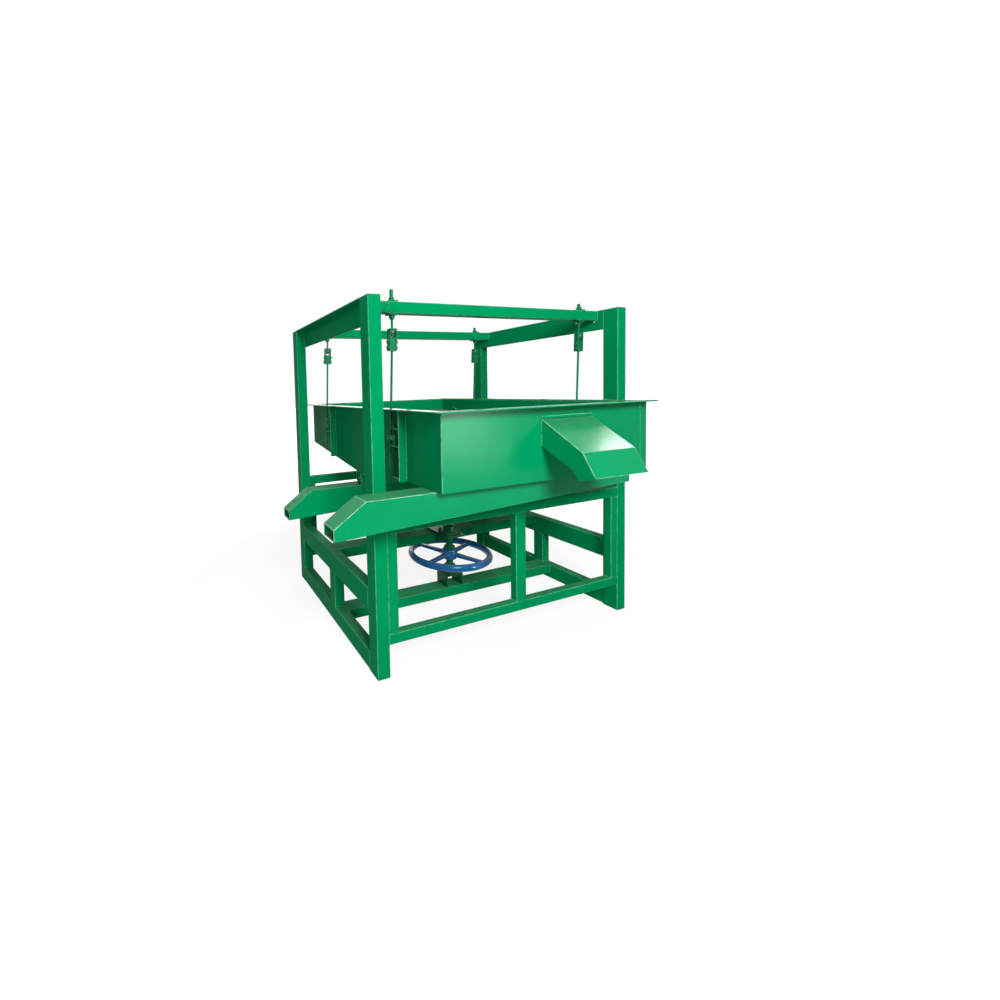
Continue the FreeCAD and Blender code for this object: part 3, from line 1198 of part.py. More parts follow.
def each_hanger(make):
    """One solid per hanger, gathered as separate pieces."""
    return compound([make(side, y) for name, side, y in HANGERS])


def frame_pieces():
    rear_y = FRAME_DEPTH - COLUMN_DEPTH
    right_x = FRAME_LENGTH - COLUMN_WIDTH
    return {
        "left_front_column": column(0, 0),
        "right_front_column": column(right_x, 0),
        "left_rear_column": column(0, rear_y),
        "right_rear_column": column(right_x, rear_y),
        "base_rails": side_rails(0, BASE_RAIL_HEIGHT),
        "side_mid_rails": side_rails(SIDE_MID_RAIL_TOP - SIDE_MID_RAIL_HEIGHT, SIDE_MID_RAIL_TOP),
        "side_posts": side_posts(),
        "end_lower_rails": end_rails(END_LOWER_RAIL_BOTTOM, END_LOWER_RAIL_HEIGHT),
        "end_mid_rails": end_rails(END_MID_RAIL_BOTTOM, END_MID_RAIL_HEIGHT),
        "end_posts": compound(middle_posts() + infill_posts()),
        "left_header": left_header(),
        "right_header": right_header(),
        "front_top_rail": top_rail(FRONT_TOP_RAIL_Y),
        "rear_top_rail": top_rail(REAR_TOP_RAIL_Y),
        "patch_plates": patch_plates(),
        "lower_cross_beam": lower_cross_beam(),
        "upper_cross_beam": upper_cross_beam(),
        "lower_bearing_bracket": lower_bearing_bracket(),
        "upper_bearing_bracket": upper_bearing_bracket(),
        "lower_bearing": flange_bearing(LOWER_BEARING_BASE),
        "upper_bearing": flange_bearing(UPPER_BEARING_BASE),
        "bearing_bolts": bearing_bolts(),
        "hanger_studs": hanger_studs(),
        "hanger_nuts": compound(hanger_nuts() + hanger_plate_washers()),
    }


def drive_pieces():
    return {
        "drive_shaft": drive_shaft(),
        "handwheel": handwheel(),
        "wheel_collar": wheel_collar(),
        "crank": crank(),
    }


def tray_pieces():
    return {
        "tray_front_wall": tray_front_wall(),
        "tray_rear_wall": tray_rear_wall(),
        "tray_left_wall": tray_side_wall(-1),
        "tray_right_wall": tray_side_wall(1),
        "tray_strips": compound([tray_corner_flange(), hood_strip()]),
        "tray_rim": tray_rim(),
        "tray_bottom_pan": tray_bottom_pan(),
        "sieve_deck": sieve_deck(),
        "deck_supports": deck_supports(),
        "deck_clamps": deck_clamps(),
        "discharge_hood": discharge_hood(),
        "front_trough": front_trough(),
        "rear_trough": rear_trough(),
        "rear_chute": rear_chute(),
        "trough_links": compound(trough_links() + trough_link_tabs()),
        "drive_beam": drive_beam(),
        "crank_pin_bearing": crank_pin_bearing(),
        "hanger_brackets": each_hanger(hanger_bracket),
        "bracket_pins": each_hanger(bracket_pin),
        "rod_clamps": each_hanger(rod_clamp),
    }


def hanger_pieces():
    bolts = [cross_bolt(drop) for drop in CROSS_BOLT_DROPS]
    strap = compound([clevis()] + bolts)
    rod = hanger_rod()
    pieces = {}
    for name, side, y in HANGERS:
        pieces[name + "_ball_nut"] = placed_ball(side, y)
        pieces[name + "_clevis"] = hung(strap, side, y)
        pieces[name + "_rod"] = hung(rod, side, y)
    return pieces


def origin_point():
    """The point on the floor under the middle of the whole machine."""
    left = min(FRONT_TROUGH_MOUTH_X, REAR_TROUGH_MOUTH_X)
    right = FRAME_LENGTH
    front = TRAY_FRONT - HOOD_MOUTH_REACH
    rear = TRAY_REAR + RIM_WIDTH
    return vector((left + right) / 2, (front + rear) / 2, 0)


def all_pieces():
    pieces = {}
    for group in (frame_pieces(), drive_pieces(), tray_pieces(), hanger_pieces()):
        pieces.update(group)
    return pieces


def main():
    os.makedirs("parts", exist_ok=True)
    shift = origin_point() * -1
    for name, shape in all_pieces().items():
        moved = shape.copy()
        moved.translate(shift)
        moved.exportStep("parts/" + name + ".step")


main()
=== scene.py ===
"""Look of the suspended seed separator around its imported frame.

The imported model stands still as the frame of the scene. Each sub-assembly of the machine is a class
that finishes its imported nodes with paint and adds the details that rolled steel, castings and
welds carry. Sizes are in metres unless a name says otherwise.
"""

import json
import logging
import math
import random
from dataclasses import dataclass, field, replace
from enum import Enum
from functools import partial
from typing import Callable, Iterable, Sequence

import bmesh
import bpy
from mathutils import Matrix, Vector

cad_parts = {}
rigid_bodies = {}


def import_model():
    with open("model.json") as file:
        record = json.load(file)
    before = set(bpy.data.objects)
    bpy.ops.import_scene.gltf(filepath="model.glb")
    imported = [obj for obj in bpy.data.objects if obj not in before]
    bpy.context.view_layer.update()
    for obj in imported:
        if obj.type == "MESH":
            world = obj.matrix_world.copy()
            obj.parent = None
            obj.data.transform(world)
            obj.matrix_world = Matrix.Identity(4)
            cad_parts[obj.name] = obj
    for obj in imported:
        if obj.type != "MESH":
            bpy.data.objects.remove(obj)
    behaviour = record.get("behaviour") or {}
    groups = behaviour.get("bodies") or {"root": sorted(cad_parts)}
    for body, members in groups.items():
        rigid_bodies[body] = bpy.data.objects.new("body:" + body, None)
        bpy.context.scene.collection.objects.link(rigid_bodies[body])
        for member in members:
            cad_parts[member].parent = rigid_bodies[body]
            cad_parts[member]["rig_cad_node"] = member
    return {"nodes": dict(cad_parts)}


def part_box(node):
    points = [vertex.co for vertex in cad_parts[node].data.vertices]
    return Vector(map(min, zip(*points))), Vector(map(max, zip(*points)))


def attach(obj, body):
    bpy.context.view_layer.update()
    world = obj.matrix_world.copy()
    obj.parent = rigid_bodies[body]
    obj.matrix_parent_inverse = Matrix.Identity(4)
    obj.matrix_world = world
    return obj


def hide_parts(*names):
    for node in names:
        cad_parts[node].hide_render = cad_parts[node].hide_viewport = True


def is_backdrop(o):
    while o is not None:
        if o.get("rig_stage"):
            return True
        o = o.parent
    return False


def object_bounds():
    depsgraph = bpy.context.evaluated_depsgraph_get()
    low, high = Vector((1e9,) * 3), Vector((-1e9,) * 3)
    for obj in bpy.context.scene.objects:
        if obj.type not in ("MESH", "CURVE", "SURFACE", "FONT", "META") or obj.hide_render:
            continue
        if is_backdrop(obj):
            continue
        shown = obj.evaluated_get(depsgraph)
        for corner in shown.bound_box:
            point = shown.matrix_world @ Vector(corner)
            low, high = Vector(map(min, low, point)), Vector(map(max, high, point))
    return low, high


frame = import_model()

LOG = logging.getLogger("seed_separator")
MM = 0.001
SEED = 7
ACROSS, ALONG, UP = Vector((1, 0, 0)), Vector((0, 1, 0)), Vector((0, 0, 1))

Colour = tuple[float, float, float]
Mesh = bmesh.types.BMesh
Outline = Callable[[float], tuple[float, float]]
Socket = bpy.types.NodeSocket
Tree = bpy.types.NodeTree


class Body(str, Enum):
    """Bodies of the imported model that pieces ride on."""

    FRAME = "frame"
    CRANKSHAFT = "crankshaft"
    TRAY = "tray"


class Slot(str, Enum):
    """Material slots of the record."""

    GREEN = "green_enamel"
    DARK_GREEN = "dark_green_enamel"
    BLUE = "blue_enamel"
    SCREEN = "screen_steel"
    BARE = "bare_steel"


class Section(Enum):
    """Kinds of rolled section, for the outline of their welded ends."""

    ANGLE = "angle"
    CHANNEL = "channel"


def rgba(colour: Colour) -> tuple[float, float, float, float]:
    """Returns a linear colour with full opacity."""
    return (*colour, 1.0)


# Shader node groups


class TreeBuilder:
    """Adds nodes to a tree and links them."""

    def __init__(self, tree: Tree) -> None:
        """Takes the tree that is built."""
        self.tree = tree

    def node(self, kind: str, **settings: object) -> bpy.types.Node:
        """Adds a node.

        Args:
            kind: Blender's node type.
            **settings: Properties set on the node.

        Returns:
            The new node.
        """
        made = self.tree.nodes.new(kind)
        for key, setting in settings.items():
            setattr(made, key, setting)
        return made

    def link(self, source: Socket, target: Socket) -> None:
        """Links two sockets."""
        self.tree.links.new(source, target)

    def feed(self, operand: Socket | float, target: Socket) -> None:
        """Links a socket to an input, or sets a number on it.

        Args:
            operand: A socket or a number.
            target: The input that takes it.
        """
        if isinstance(operand, (int, float)):
            target.default_value = operand
        else:
            self.link(operand, target)

    def math(self, operation: str, *operands: Socket | float, clamp: bool = False) -> Socket:
        """Adds a math node.

        Args:
            operation: The node's operation.
            *operands: Its sockets or numbers.
            clamp: Whether the result is held between nought and one.

        Returns:
            The result's socket.
        """
        made = self.node("ShaderNodeMath", operation=operation, use_clamp=clamp)
        for operand, target in zip(operands, made.inputs):
            self.feed(operand, target)
        return made.outputs[0]

    def ranged(self, mask: Socket, low: float, high: float) -> Socket:
        """Maps a mask onto a range of values.

        Args:
            mask: Socket from nought to one.
            low: Result at nought.
            high: Result at one.

        Returns:
            The mapped value's socket.
        """
        made = self.node("ShaderNodeMapRange")
        made.inputs["To Min"].default_value = low
        made.inputs["To Max"].default_value = high
        self.link(mask, made.inputs["Value"])
        return made.outputs["Result"]


class GroupBuilder(TreeBuilder):
    """Builds one shader node group with named inputs and outputs."""

    def __init__(self, name: str, **numbers: float) -> None:
        """Starts a group with its number inputs.

        Args:
            name: Name of the group in the file.
            **numbers: Each number input with its value when nothing is linked.
        """
        super().__init__(bpy.data.node_groups.new(name, "ShaderNodeTree"))
        self.inside = self.tree.nodes.new("NodeGroupInput")
        self.outside = self.tree.nodes.new("NodeGroupOutput")
        for key, default in numbers.items():
            self.socket(key, "INPUT", "NodeSocketFloat").default_value = default

    def socket(self, name: str, side: str, kind: str) -> bpy.types.NodeTreeInterfaceSocket:
        """Adds a named socket of a kind to the group's INPUT or OUTPUT side."""
        return self.tree.interface.new_socket(name, in_out=side, socket_type=kind)

    def finish(self, **results: Socket) -> Tree:
        """Adds the outputs and links them.

        Args:
            **results: Each output with the socket that feeds it.

        Returns:
            The finished group.
        """
        for name, source in results.items():
            self.socket(name, "OUTPUT", "NodeSocketVector" if name == "Normal" else "NodeSocketFloat")
            self.link(source, self.outside.inputs[name])
        return self.tree

    def given(self, name: str) -> Socket:
        """Returns the socket of one of the group's inputs."""
        return self.inside.outputs[name]

    def plus(self, a: Socket | float, b: Socket | float) -> Socket:
        """Returns the sum of two operands."""
        return self.math("ADD", a, b)

    def minus(self, a: Socket | float, b: Socket | float, clamp: bool = False) -> Socket:
        """Returns the difference of two operands, clamped or not."""
        return self.math("SUBTRACT", a, b, clamp=clamp)

    def times(self, a: Socket | float, b: Socket | float, clamp: bool = False) -> Socket:
        """Returns the product of two operands, clamped or not."""
        return self.math("MULTIPLY", a, b, clamp=clamp)

    def axes(self, vector: Socket) -> Sequence[Socket]:
        """Splits a vector.

        Args:
            vector: The vector's socket.

        Returns:
            The sockets of its three numbers.
        """
        parts = self.node("ShaderNodeSeparateXYZ")
        self.link(vector, parts.inputs[0])
        return parts.outputs

    def noise(self, scale: Socket | float, detail: float, stretch: Sequence[float] = (1, 1, 1)) -> Socket:
        """Adds a noise texture in the object's own frame.

        Args:
            scale: Cells per metre, a socket or a number.
            detail: Octaves of the noise.
            stretch: Factors on the three coordinates.

        Returns:
            The noise value's socket.
        """
        place = self.node("ShaderNodeTexCoord")
        mapping = self.node("ShaderNodeMapping")
        mapping.inputs["Scale"].default_value = stretch
        texture = self.node("ShaderNodeTexNoise")
        texture.inputs["Detail"].default_value = detail
        self.link(place.outputs["Object"], mapping.inputs["Vector"])
        self.link(mapping.outputs[0], texture.inputs["Vector"])
        self.feed(scale, texture.inputs["Scale"])
        return texture.outputs["Fac"]

    def bump(self, normal: Socket, height: Socket, strength: Socket, distance: float) -> Socket:
        """Adds a bump over a normal.

        Args:
            normal: The normal it starts from.
            height: Height over the surface, from nought to one.
            strength: Strength of the bump.
            distance: Height of one in metres.

        Returns:
            The new normal's socket.
        """
        made = self.node("ShaderNodeBump")
        made.inputs["Distance"].default_value = distance
        for source, name in ((strength, "Strength"), (height, "Height"), (normal, "Normal")):
            self.link(source, made.inputs[name])
        return made.outputs[0]


class ShaderGroups:
    """The surface effects that several finishes share."""

    def __init__(self) -> None:
        """Builds every group once."""
        self.edges = self._edges()
        self.peel = self._peel()
        self.settling = self._settling()
        self.reflection_streaks = self._build_reflection_streaks()
        self.holes = self._holes()

    @staticmethod
    def _edges() -> Tree:
        """Softened edges and a pale edge mask, partly paint worn thin and partly painted highlight.

        Returns:
            A group with Radius, Wear, Breakup, Threshold, Gain and Corners in, Mask and Normal out.
        """
        patch_gain, patch_cut = 2.2, 0.55
        under_limit, under_gain = 0.3, 4.0
        flat_limit, round_gain = 0.97, 6.0
        g = GroupBuilder("softened_edges", Radius=0.003, Wear=1.0, Breakup=40.0, Threshold=0.03, Gain=6.0,
                         Corners=0.0)
        bevel = g.node("ShaderNodeBevel", samples=4)
        g.link(g.given("Radius"), bevel.inputs["Radius"])
        softened = bevel.outputs[0]
        surface = g.node("ShaderNodeNewGeometry")
        dot = g.node("ShaderNodeVectorMath", operation="DOT_PRODUCT")
        g.link(softened, dot.inputs[0])
        g.link(surface.outputs["Normal"], dot.inputs[1])
        past = g.minus(g.minus(1.0, dot.outputs["Value"]), g.given("Threshold"))
        sharp = g.times(past, g.given("Gain"), clamp=True)
        broken = g.minus(g.times(g.noise(g.given("Breakup"), 4.0), patch_gain), patch_cut, clamp=True)
        rubbed_and_highlit = g.times(g.times(sharp, broken, clamp=True), g.given("Wear"), clamp=True)
        # Painted light: the pale edge mark stays on edges facing up or level and fades out on edges facing
        # down, as light falls from above.
        lit_from_above = g.times(g.plus(g.axes(softened)["Z"], under_limit), under_gain, clamp=True)
        # Painted highlight: where the normal leans off every axis, on the rounded corners of square sections,
        # the pale mark stands in for the lamps' glint. Corners sets its strength.
        place = g.node("ShaderNodeTexCoord")
        sizes = [g.math("ABSOLUTE", part) for part in g.axes(place.outputs["Normal"])]
        largest = g.math("MAXIMUM", g.math("MAXIMUM", sizes[0], sizes[1]), sizes[2])
        rounded = g.times(g.minus(flat_limit, largest), round_gain, clamp=True)
        corner = g.times(g.times(rounded, broken, clamp=True), g.given("Corners"))
        return g.finish(Mask=g.math("MAXIMUM", g.times(rubbed_and_highlit, lit_from_above), corner), Normal=softened)

    @staticmethod
    def _peel() -> Tree:
        """Orange peel of sprayed enamel over slow waves of the sheet.

        Returns:
            A group with Peel, Waves, Size and Normal in, Normal and Tone out.
        """
        wave_height, peel_height = 0.02, 0.0004
        blotch_share, wave_share = 0.7, 0.3
        g = GroupBuilder("sprayed_skin", Peel=0.1, Waves=0.1, Size=420.0)
        g.socket("Normal", "INPUT", "NodeSocketVector")
        slow = g.noise(2.3, 1.0)
        waves = g.bump(g.given("Normal"), slow, g.given("Waves"), wave_height)
        peel = g.bump(waves, g.noise(g.given("Size"), 2.0), g.given("Peel"), peel_height)
        tone = g.plus(g.times(g.noise(5.5, 5.0), blotch_share), g.times(slow, wave_share))
        return g.finish(Normal=peel, Tone=tone)

    @staticmethod
    def _settling() -> Tree:
        """Dust that settles on faces turned upwards, in drifts.

        Returns:
            A group with Amount in and Mask out.
        """
        steep_limit, level_gain = 0.6, 2.5
        g = GroupBuilder("settled_dust", Amount=0.3)
        surface = g.node("ShaderNodeNewGeometry")
        facing = g.times(g.minus(g.axes(surface.outputs["Normal"])["Z"], steep_limit), level_gain, clamp=True)
        drift = g.times(g.noise(9.0, 6.0), g.plus(g.noise(120.0, 3.0), 0.45))
        amount = g.times(g.given("Amount"), 2.0)
        return g.finish(Mask=g.times(g.times(facing, drift), amount, clamp=True))

    @staticmethod
    def _build_reflection_streaks() -> Tree:
        """Upright streaks darkened into the paint's colour, as painted reflection streaks.

        Returns:
            A group with Width in and Mask out.
        """
        streak_stretch = (1.0, 1.0, 0.045)
        streak_cut, streak_gain = 0.42, 3.0
        g = GroupBuilder("painted_reflection_streaks", Width=60.0)
        # Painted reflection: upright streaks that darken the colour.
        streaks = g.noise(g.given("Width"), 3.0, streak_stretch)
        return g.finish(Mask=g.times(g.minus(streaks, streak_cut), streak_gain, clamp=True))

    @staticmethod
    def _holes() -> Tree:
        """Staggered round holes of a perforated sheet.

        Returns:
            A group with Pitch and Radius in, in metres, and Mask out, which is one inside a hole.
        """
        g = GroupBuilder("staggered_holes", Pitch=0.008, Radius=0.0024)
        place = g.node("ShaderNodeTexCoord")
        parts = g.axes(place.outputs["Object"])
        pitch = g.given("Pitch")
        row_height = g.times(pitch, math.sqrt(3) / 2)
        rows = g.math("DIVIDE", parts["Y"], row_height)
        stagger = g.times(g.math("PINGPONG", g.math("FLOOR", rows), 1.0), 0.5)
        across = g.math("FRACT", g.plus(g.math("DIVIDE", parts["X"], pitch), stagger))
        dx = g.times(g.minus(across, 0.5), pitch)
        dy = g.times(g.minus(g.math("FRACT", rows), 0.5), row_height)
        reach = g.math("SQRT", g.plus(g.times(dx, dx), g.times(dy, dy)))
        return g.finish(Mask=g.math("LESS_THAN", reach, g.given("Radius")))


# Finishes


class MaterialBuilder(TreeBuilder):
    """A material under construction, with its Principled BSDF at the end."""

    def __init__(self, name: str) -> None:
        """Starts a node material.

        Args:
            name: Name of the material.
        """
        self.material = bpy.data.materials.new(name)
        self.material.use_nodes = True
        super().__init__(self.material.node_tree)
        self.shader = self.tree.nodes["Principled BSDF"]

    def group(self, tree: Tree, **values: float) -> bpy.types.Node:
        """Adds a shared group.

        Args:
            tree: The group's tree.
            **values: Values of its inputs.

        Returns:
            The group node.
        """
        made = self.node("ShaderNodeGroup", node_tree=tree)
        for key, setting in values.items():
            made.inputs[key].default_value = setting
        return made

    def skin(self, tree: Tree, edges: bpy.types.Node, **values: float) -> Socket:
        """Adds the sprayed skin over softened edges and links its normal to the shader.

        Args:
            tree: The skin's group.
            edges: The node of the softened edges.
            **values: Values of the skin's inputs.

        Returns:
            The socket of the skin's tone.
        """
        made = self.group(tree, **values)
        self.link(edges.outputs["Normal"], made.inputs["Normal"])
        self.shade(made.outputs["Normal"], "Normal")
        return made.outputs["Tone"]

    def blend(self, mask: Socket, low: Socket | Colour, high: Socket | Colour) -> Socket:
        """Mixes two colours by a mask.

        Args:
            mask: Socket that is nought for low and one for high.
            low: A colour or a socket.
            high: A colour or a socket.

        Returns:
            The mixed colour's socket.
        """
        mix = self.node("ShaderNodeMix", data_type="RGBA")
        self.link(mask, mix.inputs["Factor"])
        for key, colour in (("A", low), ("B", high)):
            target = next(s for s in mix.inputs if s.name == key and s.type == "RGBA")
            if isinstance(colour, tuple):
                target.default_value = rgba(colour)
            else:
                self.link(colour, target)
        return next(s for s in mix.outputs if s.type == "RGBA")

    def shade(self, operand: Socket | float, target: str) -> None:
        """Feeds one of the shader's inputs with a socket or a number."""
        self.feed(operand, self.shader.inputs[target])


@dataclass(frozen=True)
class Enamel:
    """Sprayed enamel on steel or cast iron."""

    name: str
    slot: Slot
    colour: Colour
    deep: Colour
    # Pale edge colour: partly paint worn thin, partly a painted highlight along edges and folds.
    worn_and_highlit_colour: Colour
    tint: Colour = (1.0, 1.0, 1.0)
    dust_colour: Colour = (0.36, 0.34, 0.24)
    roughness: tuple[float, float] = (0.24, 0.38)
    specular: float = 0.3
    ior: float = 1.35
    peel: float = 0.22
    peel_size: float = 420.0
    waves: float = 0.06
    # Depth of the painted reflection streaks.
    reflection_streak_depth: float = 0.16
    edge_radius: float = 0.003
    fold_threshold: float = 0.03
    fold_gain: float = 6.0
    # Strength of the painted highlight on the rounded corners of square sections.
    corner_highlight: float = 0.0
    # Strength of the pale edge mark, worn paint and painted highlight together.
    wear_and_highlight: float = 0.9
    dust: float = 0.25

    def make(self, groups: ShaderGroups) -> bpy.types.Material:
        """Builds the enamel's material.

        Args:
            groups: The shared surface effects.

        Returns:
            The finished material.
        """
        m = MaterialBuilder(self.name)
        edges = m.group(groups.edges, Radius=self.edge_radius, Wear=self.wear_and_highlight,
                        Threshold=self.fold_threshold, Gain=self.fold_gain, Corners=self.corner_highlight)
        tone = m.skin(groups.peel, edges, Peel=self.peel, Waves=self.waves, Size=self.peel_size)
        settled = m.group(groups.settling, Amount=self.dust)
        reflection_streaks = m.group(groups.reflection_streaks)
        painted = m.blend(tone, self.deep, self.colour)
        # Painted reflection streaks: upright streaks darkened into the colour.
        reflection_streaked = m.blend(m.ranged(reflection_streaks.outputs["Mask"], 0.0, self.reflection_streak_depth), painted, self.deep)
        # Pale edges: partly paint worn thin, partly painted highlight.
        rubbed_and_highlit = m.blend(edges.outputs["Mask"], reflection_streaked, self.worn_and_highlit_colour)
        m.shade(m.blend(settled.outputs["Mask"], rubbed_and_highlit, self.dust_colour), "Base Color")
        m.shade(m.ranged(tone, *self.roughness), "Roughness")
        m.shade(self.specular, "Specular IOR Level")
        m.shade(self.ior, "IOR")
        m.shader.inputs["Specular Tint"].default_value = rgba(self.tint)
        return m.material


@dataclass(frozen=True)
class Screen:
    """Perforated sheet steel of the sieve."""

    name: str
    slot: Slot
    colour: Colour
    # Colour painted in the holes: painted shade for the dark space seen through them.
    hole_shade: Colour
    dust_colour: Colour = (0.42, 0.37, 0.26)
    shade: float = 0.7
    pitch: float = 0.009
    hole_radius: float = 0.0028
    peel: float = 0.3
    peel_size: float = 900.0
    waves: float = 0.1
    edge_radius: float = 0.0015
    dust: float = 0.5
    metallic: tuple[float, float] = (0.9, 0.0)
    roughness: tuple[float, float] = (0.32, 0.5)

    def make(self, groups: ShaderGroups) -> bpy.types.Material:
        """Builds the sheet's material.

        Args:
            groups: The shared surface effects.

        Returns:
            The finished material.
        """
        m = MaterialBuilder(self.name)
        holes = m.group(groups.holes, Pitch=self.pitch, Radius=self.hole_radius)
        edges = m.group(groups.edges, Radius=self.edge_radius, Wear=0.0)
        tone = m.skin(groups.peel, edges, Peel=self.peel, Waves=self.waves, Size=self.peel_size)
        settled = m.group(groups.settling, Amount=self.dust)
        sheet = m.blend(tone, tuple(c * self.shade for c in self.colour), self.colour)
        dusty = m.blend(settled.outputs["Mask"], sheet, self.dust_colour)
        # Painted shade: the holes are painted near black for the shade seen through them.
        m.shade(m.blend(holes.outputs["Mask"], dusty, self.hole_shade), "Base Color")
        m.shade(m.ranged(holes.outputs["Mask"], *self.metallic), "Metallic")
        m.shade(m.ranged(tone, *self.roughness), "Roughness")
        return m.material


@dataclass(frozen=True)
class OiledSteel:
    """Turned steel with a film of oil and light rust."""

    name: str
    slot: Slot
    colour: Colour
    rust: Colour
    rust_range: tuple[float, float] = (-1.0, 1.4)
    peel: float = 0.25
    peel_size: float = 1500.0
    edge_radius: float = 0.0008
    metallic: float = 0.4
    roughness: tuple[float, float] = (0.4, 0.6)

    def make(self, groups: ShaderGroups) -> bpy.types.Material:
        """Builds the steel's material.

        Args:
            groups: The shared surface effects.

        Returns:
            The finished material.
        """
        m = MaterialBuilder(self.name)
        edges = m.group(groups.edges, Radius=self.edge_radius, Wear=0.0)
        tone = m.skin(groups.peel, edges, Peel=self.peel, Waves=0.0, Size=self.peel_size)
        m.shade(m.blend(m.ranged(tone, *self.rust_range), self.colour, self.rust), "Base Color")
        m.shade(m.ranged(tone, *self.roughness), "Roughness")
        m.shade(self.metallic, "Metallic")
        return m.material


# corner_highlight paints a pale highlight on the rounded corners of the sections.
FRAME_GREEN = Enamel(
    "green_enamel_on_sections", Slot.GREEN,
    colour=(0.0, 0.32, 0.115), deep=(0.0, 0.25, 0.085), worn_and_highlit_colour=(0.3, 0.68, 0.46), tint=(0.05, 1.0, 0.5),
    specular=0.005, edge_radius=0.004, corner_highlight=0.5, wear_and_highlight=1.2, dust=0.1,
)
SHEET_GREEN = Enamel(
    "green_enamel_on_sheet", Slot.GREEN,
    colour=(0.0, 0.315, 0.118), deep=(0.0, 0.255, 0.09), worn_and_highlit_colour=(0.42, 0.78, 0.56), tint=(0.6, 1.0, 0.8),
    roughness=(0.18, 0.28), specular=0.05, waves=0.12, edge_radius=0.0045, wear_and_highlight=1.5, dust=0.14,
)
# Painted highlight: a paler edge colour, a low fold threshold and a steep gain paint white highlights along the
# folds of the hood and front trough.
FOLD_GREEN = replace(
    SHEET_GREEN, name="green_enamel_with_highlit_folds", worn_and_highlit_colour=(0.62, 0.9, 0.72), edge_radius=0.005, wear_and_highlight=1.7,
    colour=(0.0, 0.33, 0.124), roughness=(0.13, 0.22), specular=0.14, fold_threshold=0.008, fold_gain=14.0,
)
# Painted shade: a darker copy of the sheet's green for the side walls and hanger brackets, which stand in
# shade.
SHADED_SIDE_GREEN = replace(
    SHEET_GREEN, name="green_enamel_painted_shaded_on_side_sheets", colour=(0.0, 0.27, 0.1), deep=(0.0, 0.2, 0.07),
    specular=0.01,
)
CAST_GREEN = Enamel(
    "dark_green_enamel_on_castings", Slot.DARK_GREEN,
    colour=(0.0, 0.15, 0.055), deep=(0.0, 0.09, 0.032), worn_and_highlit_colour=(0.14, 0.4, 0.24), tint=(0.3, 1.0, 0.6),
    roughness=(0.3, 0.5), peel=0.5, peel_size=260.0, waves=0.0, edge_radius=0.0015, wear_and_highlight=0.6,
)
FITTING_GREEN = replace(
    CAST_GREEN, name="dark_green_enamel_on_fittings", colour=(0.0, 0.21, 0.08), deep=(0.0, 0.14, 0.05),
    worn_and_highlit_colour=(0.2, 0.5, 0.32), roughness=(0.26, 0.42), peel=0.2, wear_and_highlight=0.9,
)
WHEEL_BLUE = Enamel(
    "blue_enamel_on_cast_iron", Slot.BLUE,
    colour=(0.0, 0.13, 0.37), deep=(0.0, 0.095, 0.29), worn_and_highlit_colour=(0.2, 0.45, 0.7), tint=(0.6, 0.85, 1.0),
    roughness=(0.14, 0.26), specular=0.6, peel=0.35, peel_size=240.0, waves=0.0, edge_radius=0.002, wear_and_highlight=0.5,
)
# Painted shade and painted reflection: the steel colour is darkened and tinted green, for the tray's shade and
# the green walls mirrored in the deck.
SIEVE = Screen("perforated_screen_sheet", Slot.SCREEN, colour=(0.24, 0.28, 0.25), hole_shade=(0.01, 0.012, 0.01))
# Painted shade: the steel colour is kept dark, partly for its oil film and partly because the ball nuts sit in
# shade inside their clevises.
BARE = OiledSteel("oiled_bare_steel_with_painted_shade", Slot.BARE, colour=(0.13, 0.125, 0.11), rust=(0.08, 0.045, 0.025))

Finish = Enamel | Screen | OiledSteel


class PaintShop:
    """Makes each finish once and lays it on nodes and pieces."""

    def __init__(self, groups: ShaderGroups) -> None:
        """Keeps the shared surface effects."""
        self.groups = groups
        self.made: dict[str, bpy.types.Material] = {}

    def material(self, finish: Finish) -> bpy.types.Material:
        """Finds the material of a finish, made on its first use.

        Args:
            finish: The finish.

        Returns:
            Its material.
        """
        if finish.name not in self.made:
            self.made[finish.name] = finish.make(self.groups)
        return self.made[finish.name]

    def coat(self, thing: bpy.types.Object, finish: Finish) -> None:
        """Gives a node or piece one finish.

        Args:
            thing: The object to finish.
            finish: The finish laid on it.
        """
        thing.data.materials.clear()
        thing.data.materials.append(self.material(finish))


# Mesh tools


@dataclass(frozen=True)
class Box:
    """An upright box between two corners."""

    low: Vector
    high: Vector

    @property
    def middle(self) -> Vector:
        """The middle of the box."""
        return (self.low + self.high) / 2


def node_box(name: str) -> Box:
    """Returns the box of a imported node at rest."""
    return Box(*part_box(name))


def solid_boxes(name: str, weld: float = 1e-5) -> list[Box]:
    """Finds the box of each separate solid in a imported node.

    Args:
        name: The node's name.
        weld: How far apart corners may be and still be one.

    Returns:
        One box per connected solid.
    """
    mesh = bmesh.new()
    mesh.from_mesh(frame["nodes"][name].data)
    bmesh.ops.remove_doubles(mesh, verts=mesh.verts, dist=weld)
    unseen = set(mesh.verts)
    boxes = []
    while unseen:
        reached = [unseen.pop()]
        points = []
        while reached:
            corner = reached.pop()
            points.append(corner.co.copy())
            for edge in corner.link_edges:
                other = edge.other_vert(corner)
                if other in unseen:
                    unseen.remove(other)
                    reached.append(other)
        low, high = (Vector([limit(p[i] for p in points) for i in range(3)]) for limit in (min, max))
        boxes.append(Box(low, high))
    mesh.free()
    return boxes


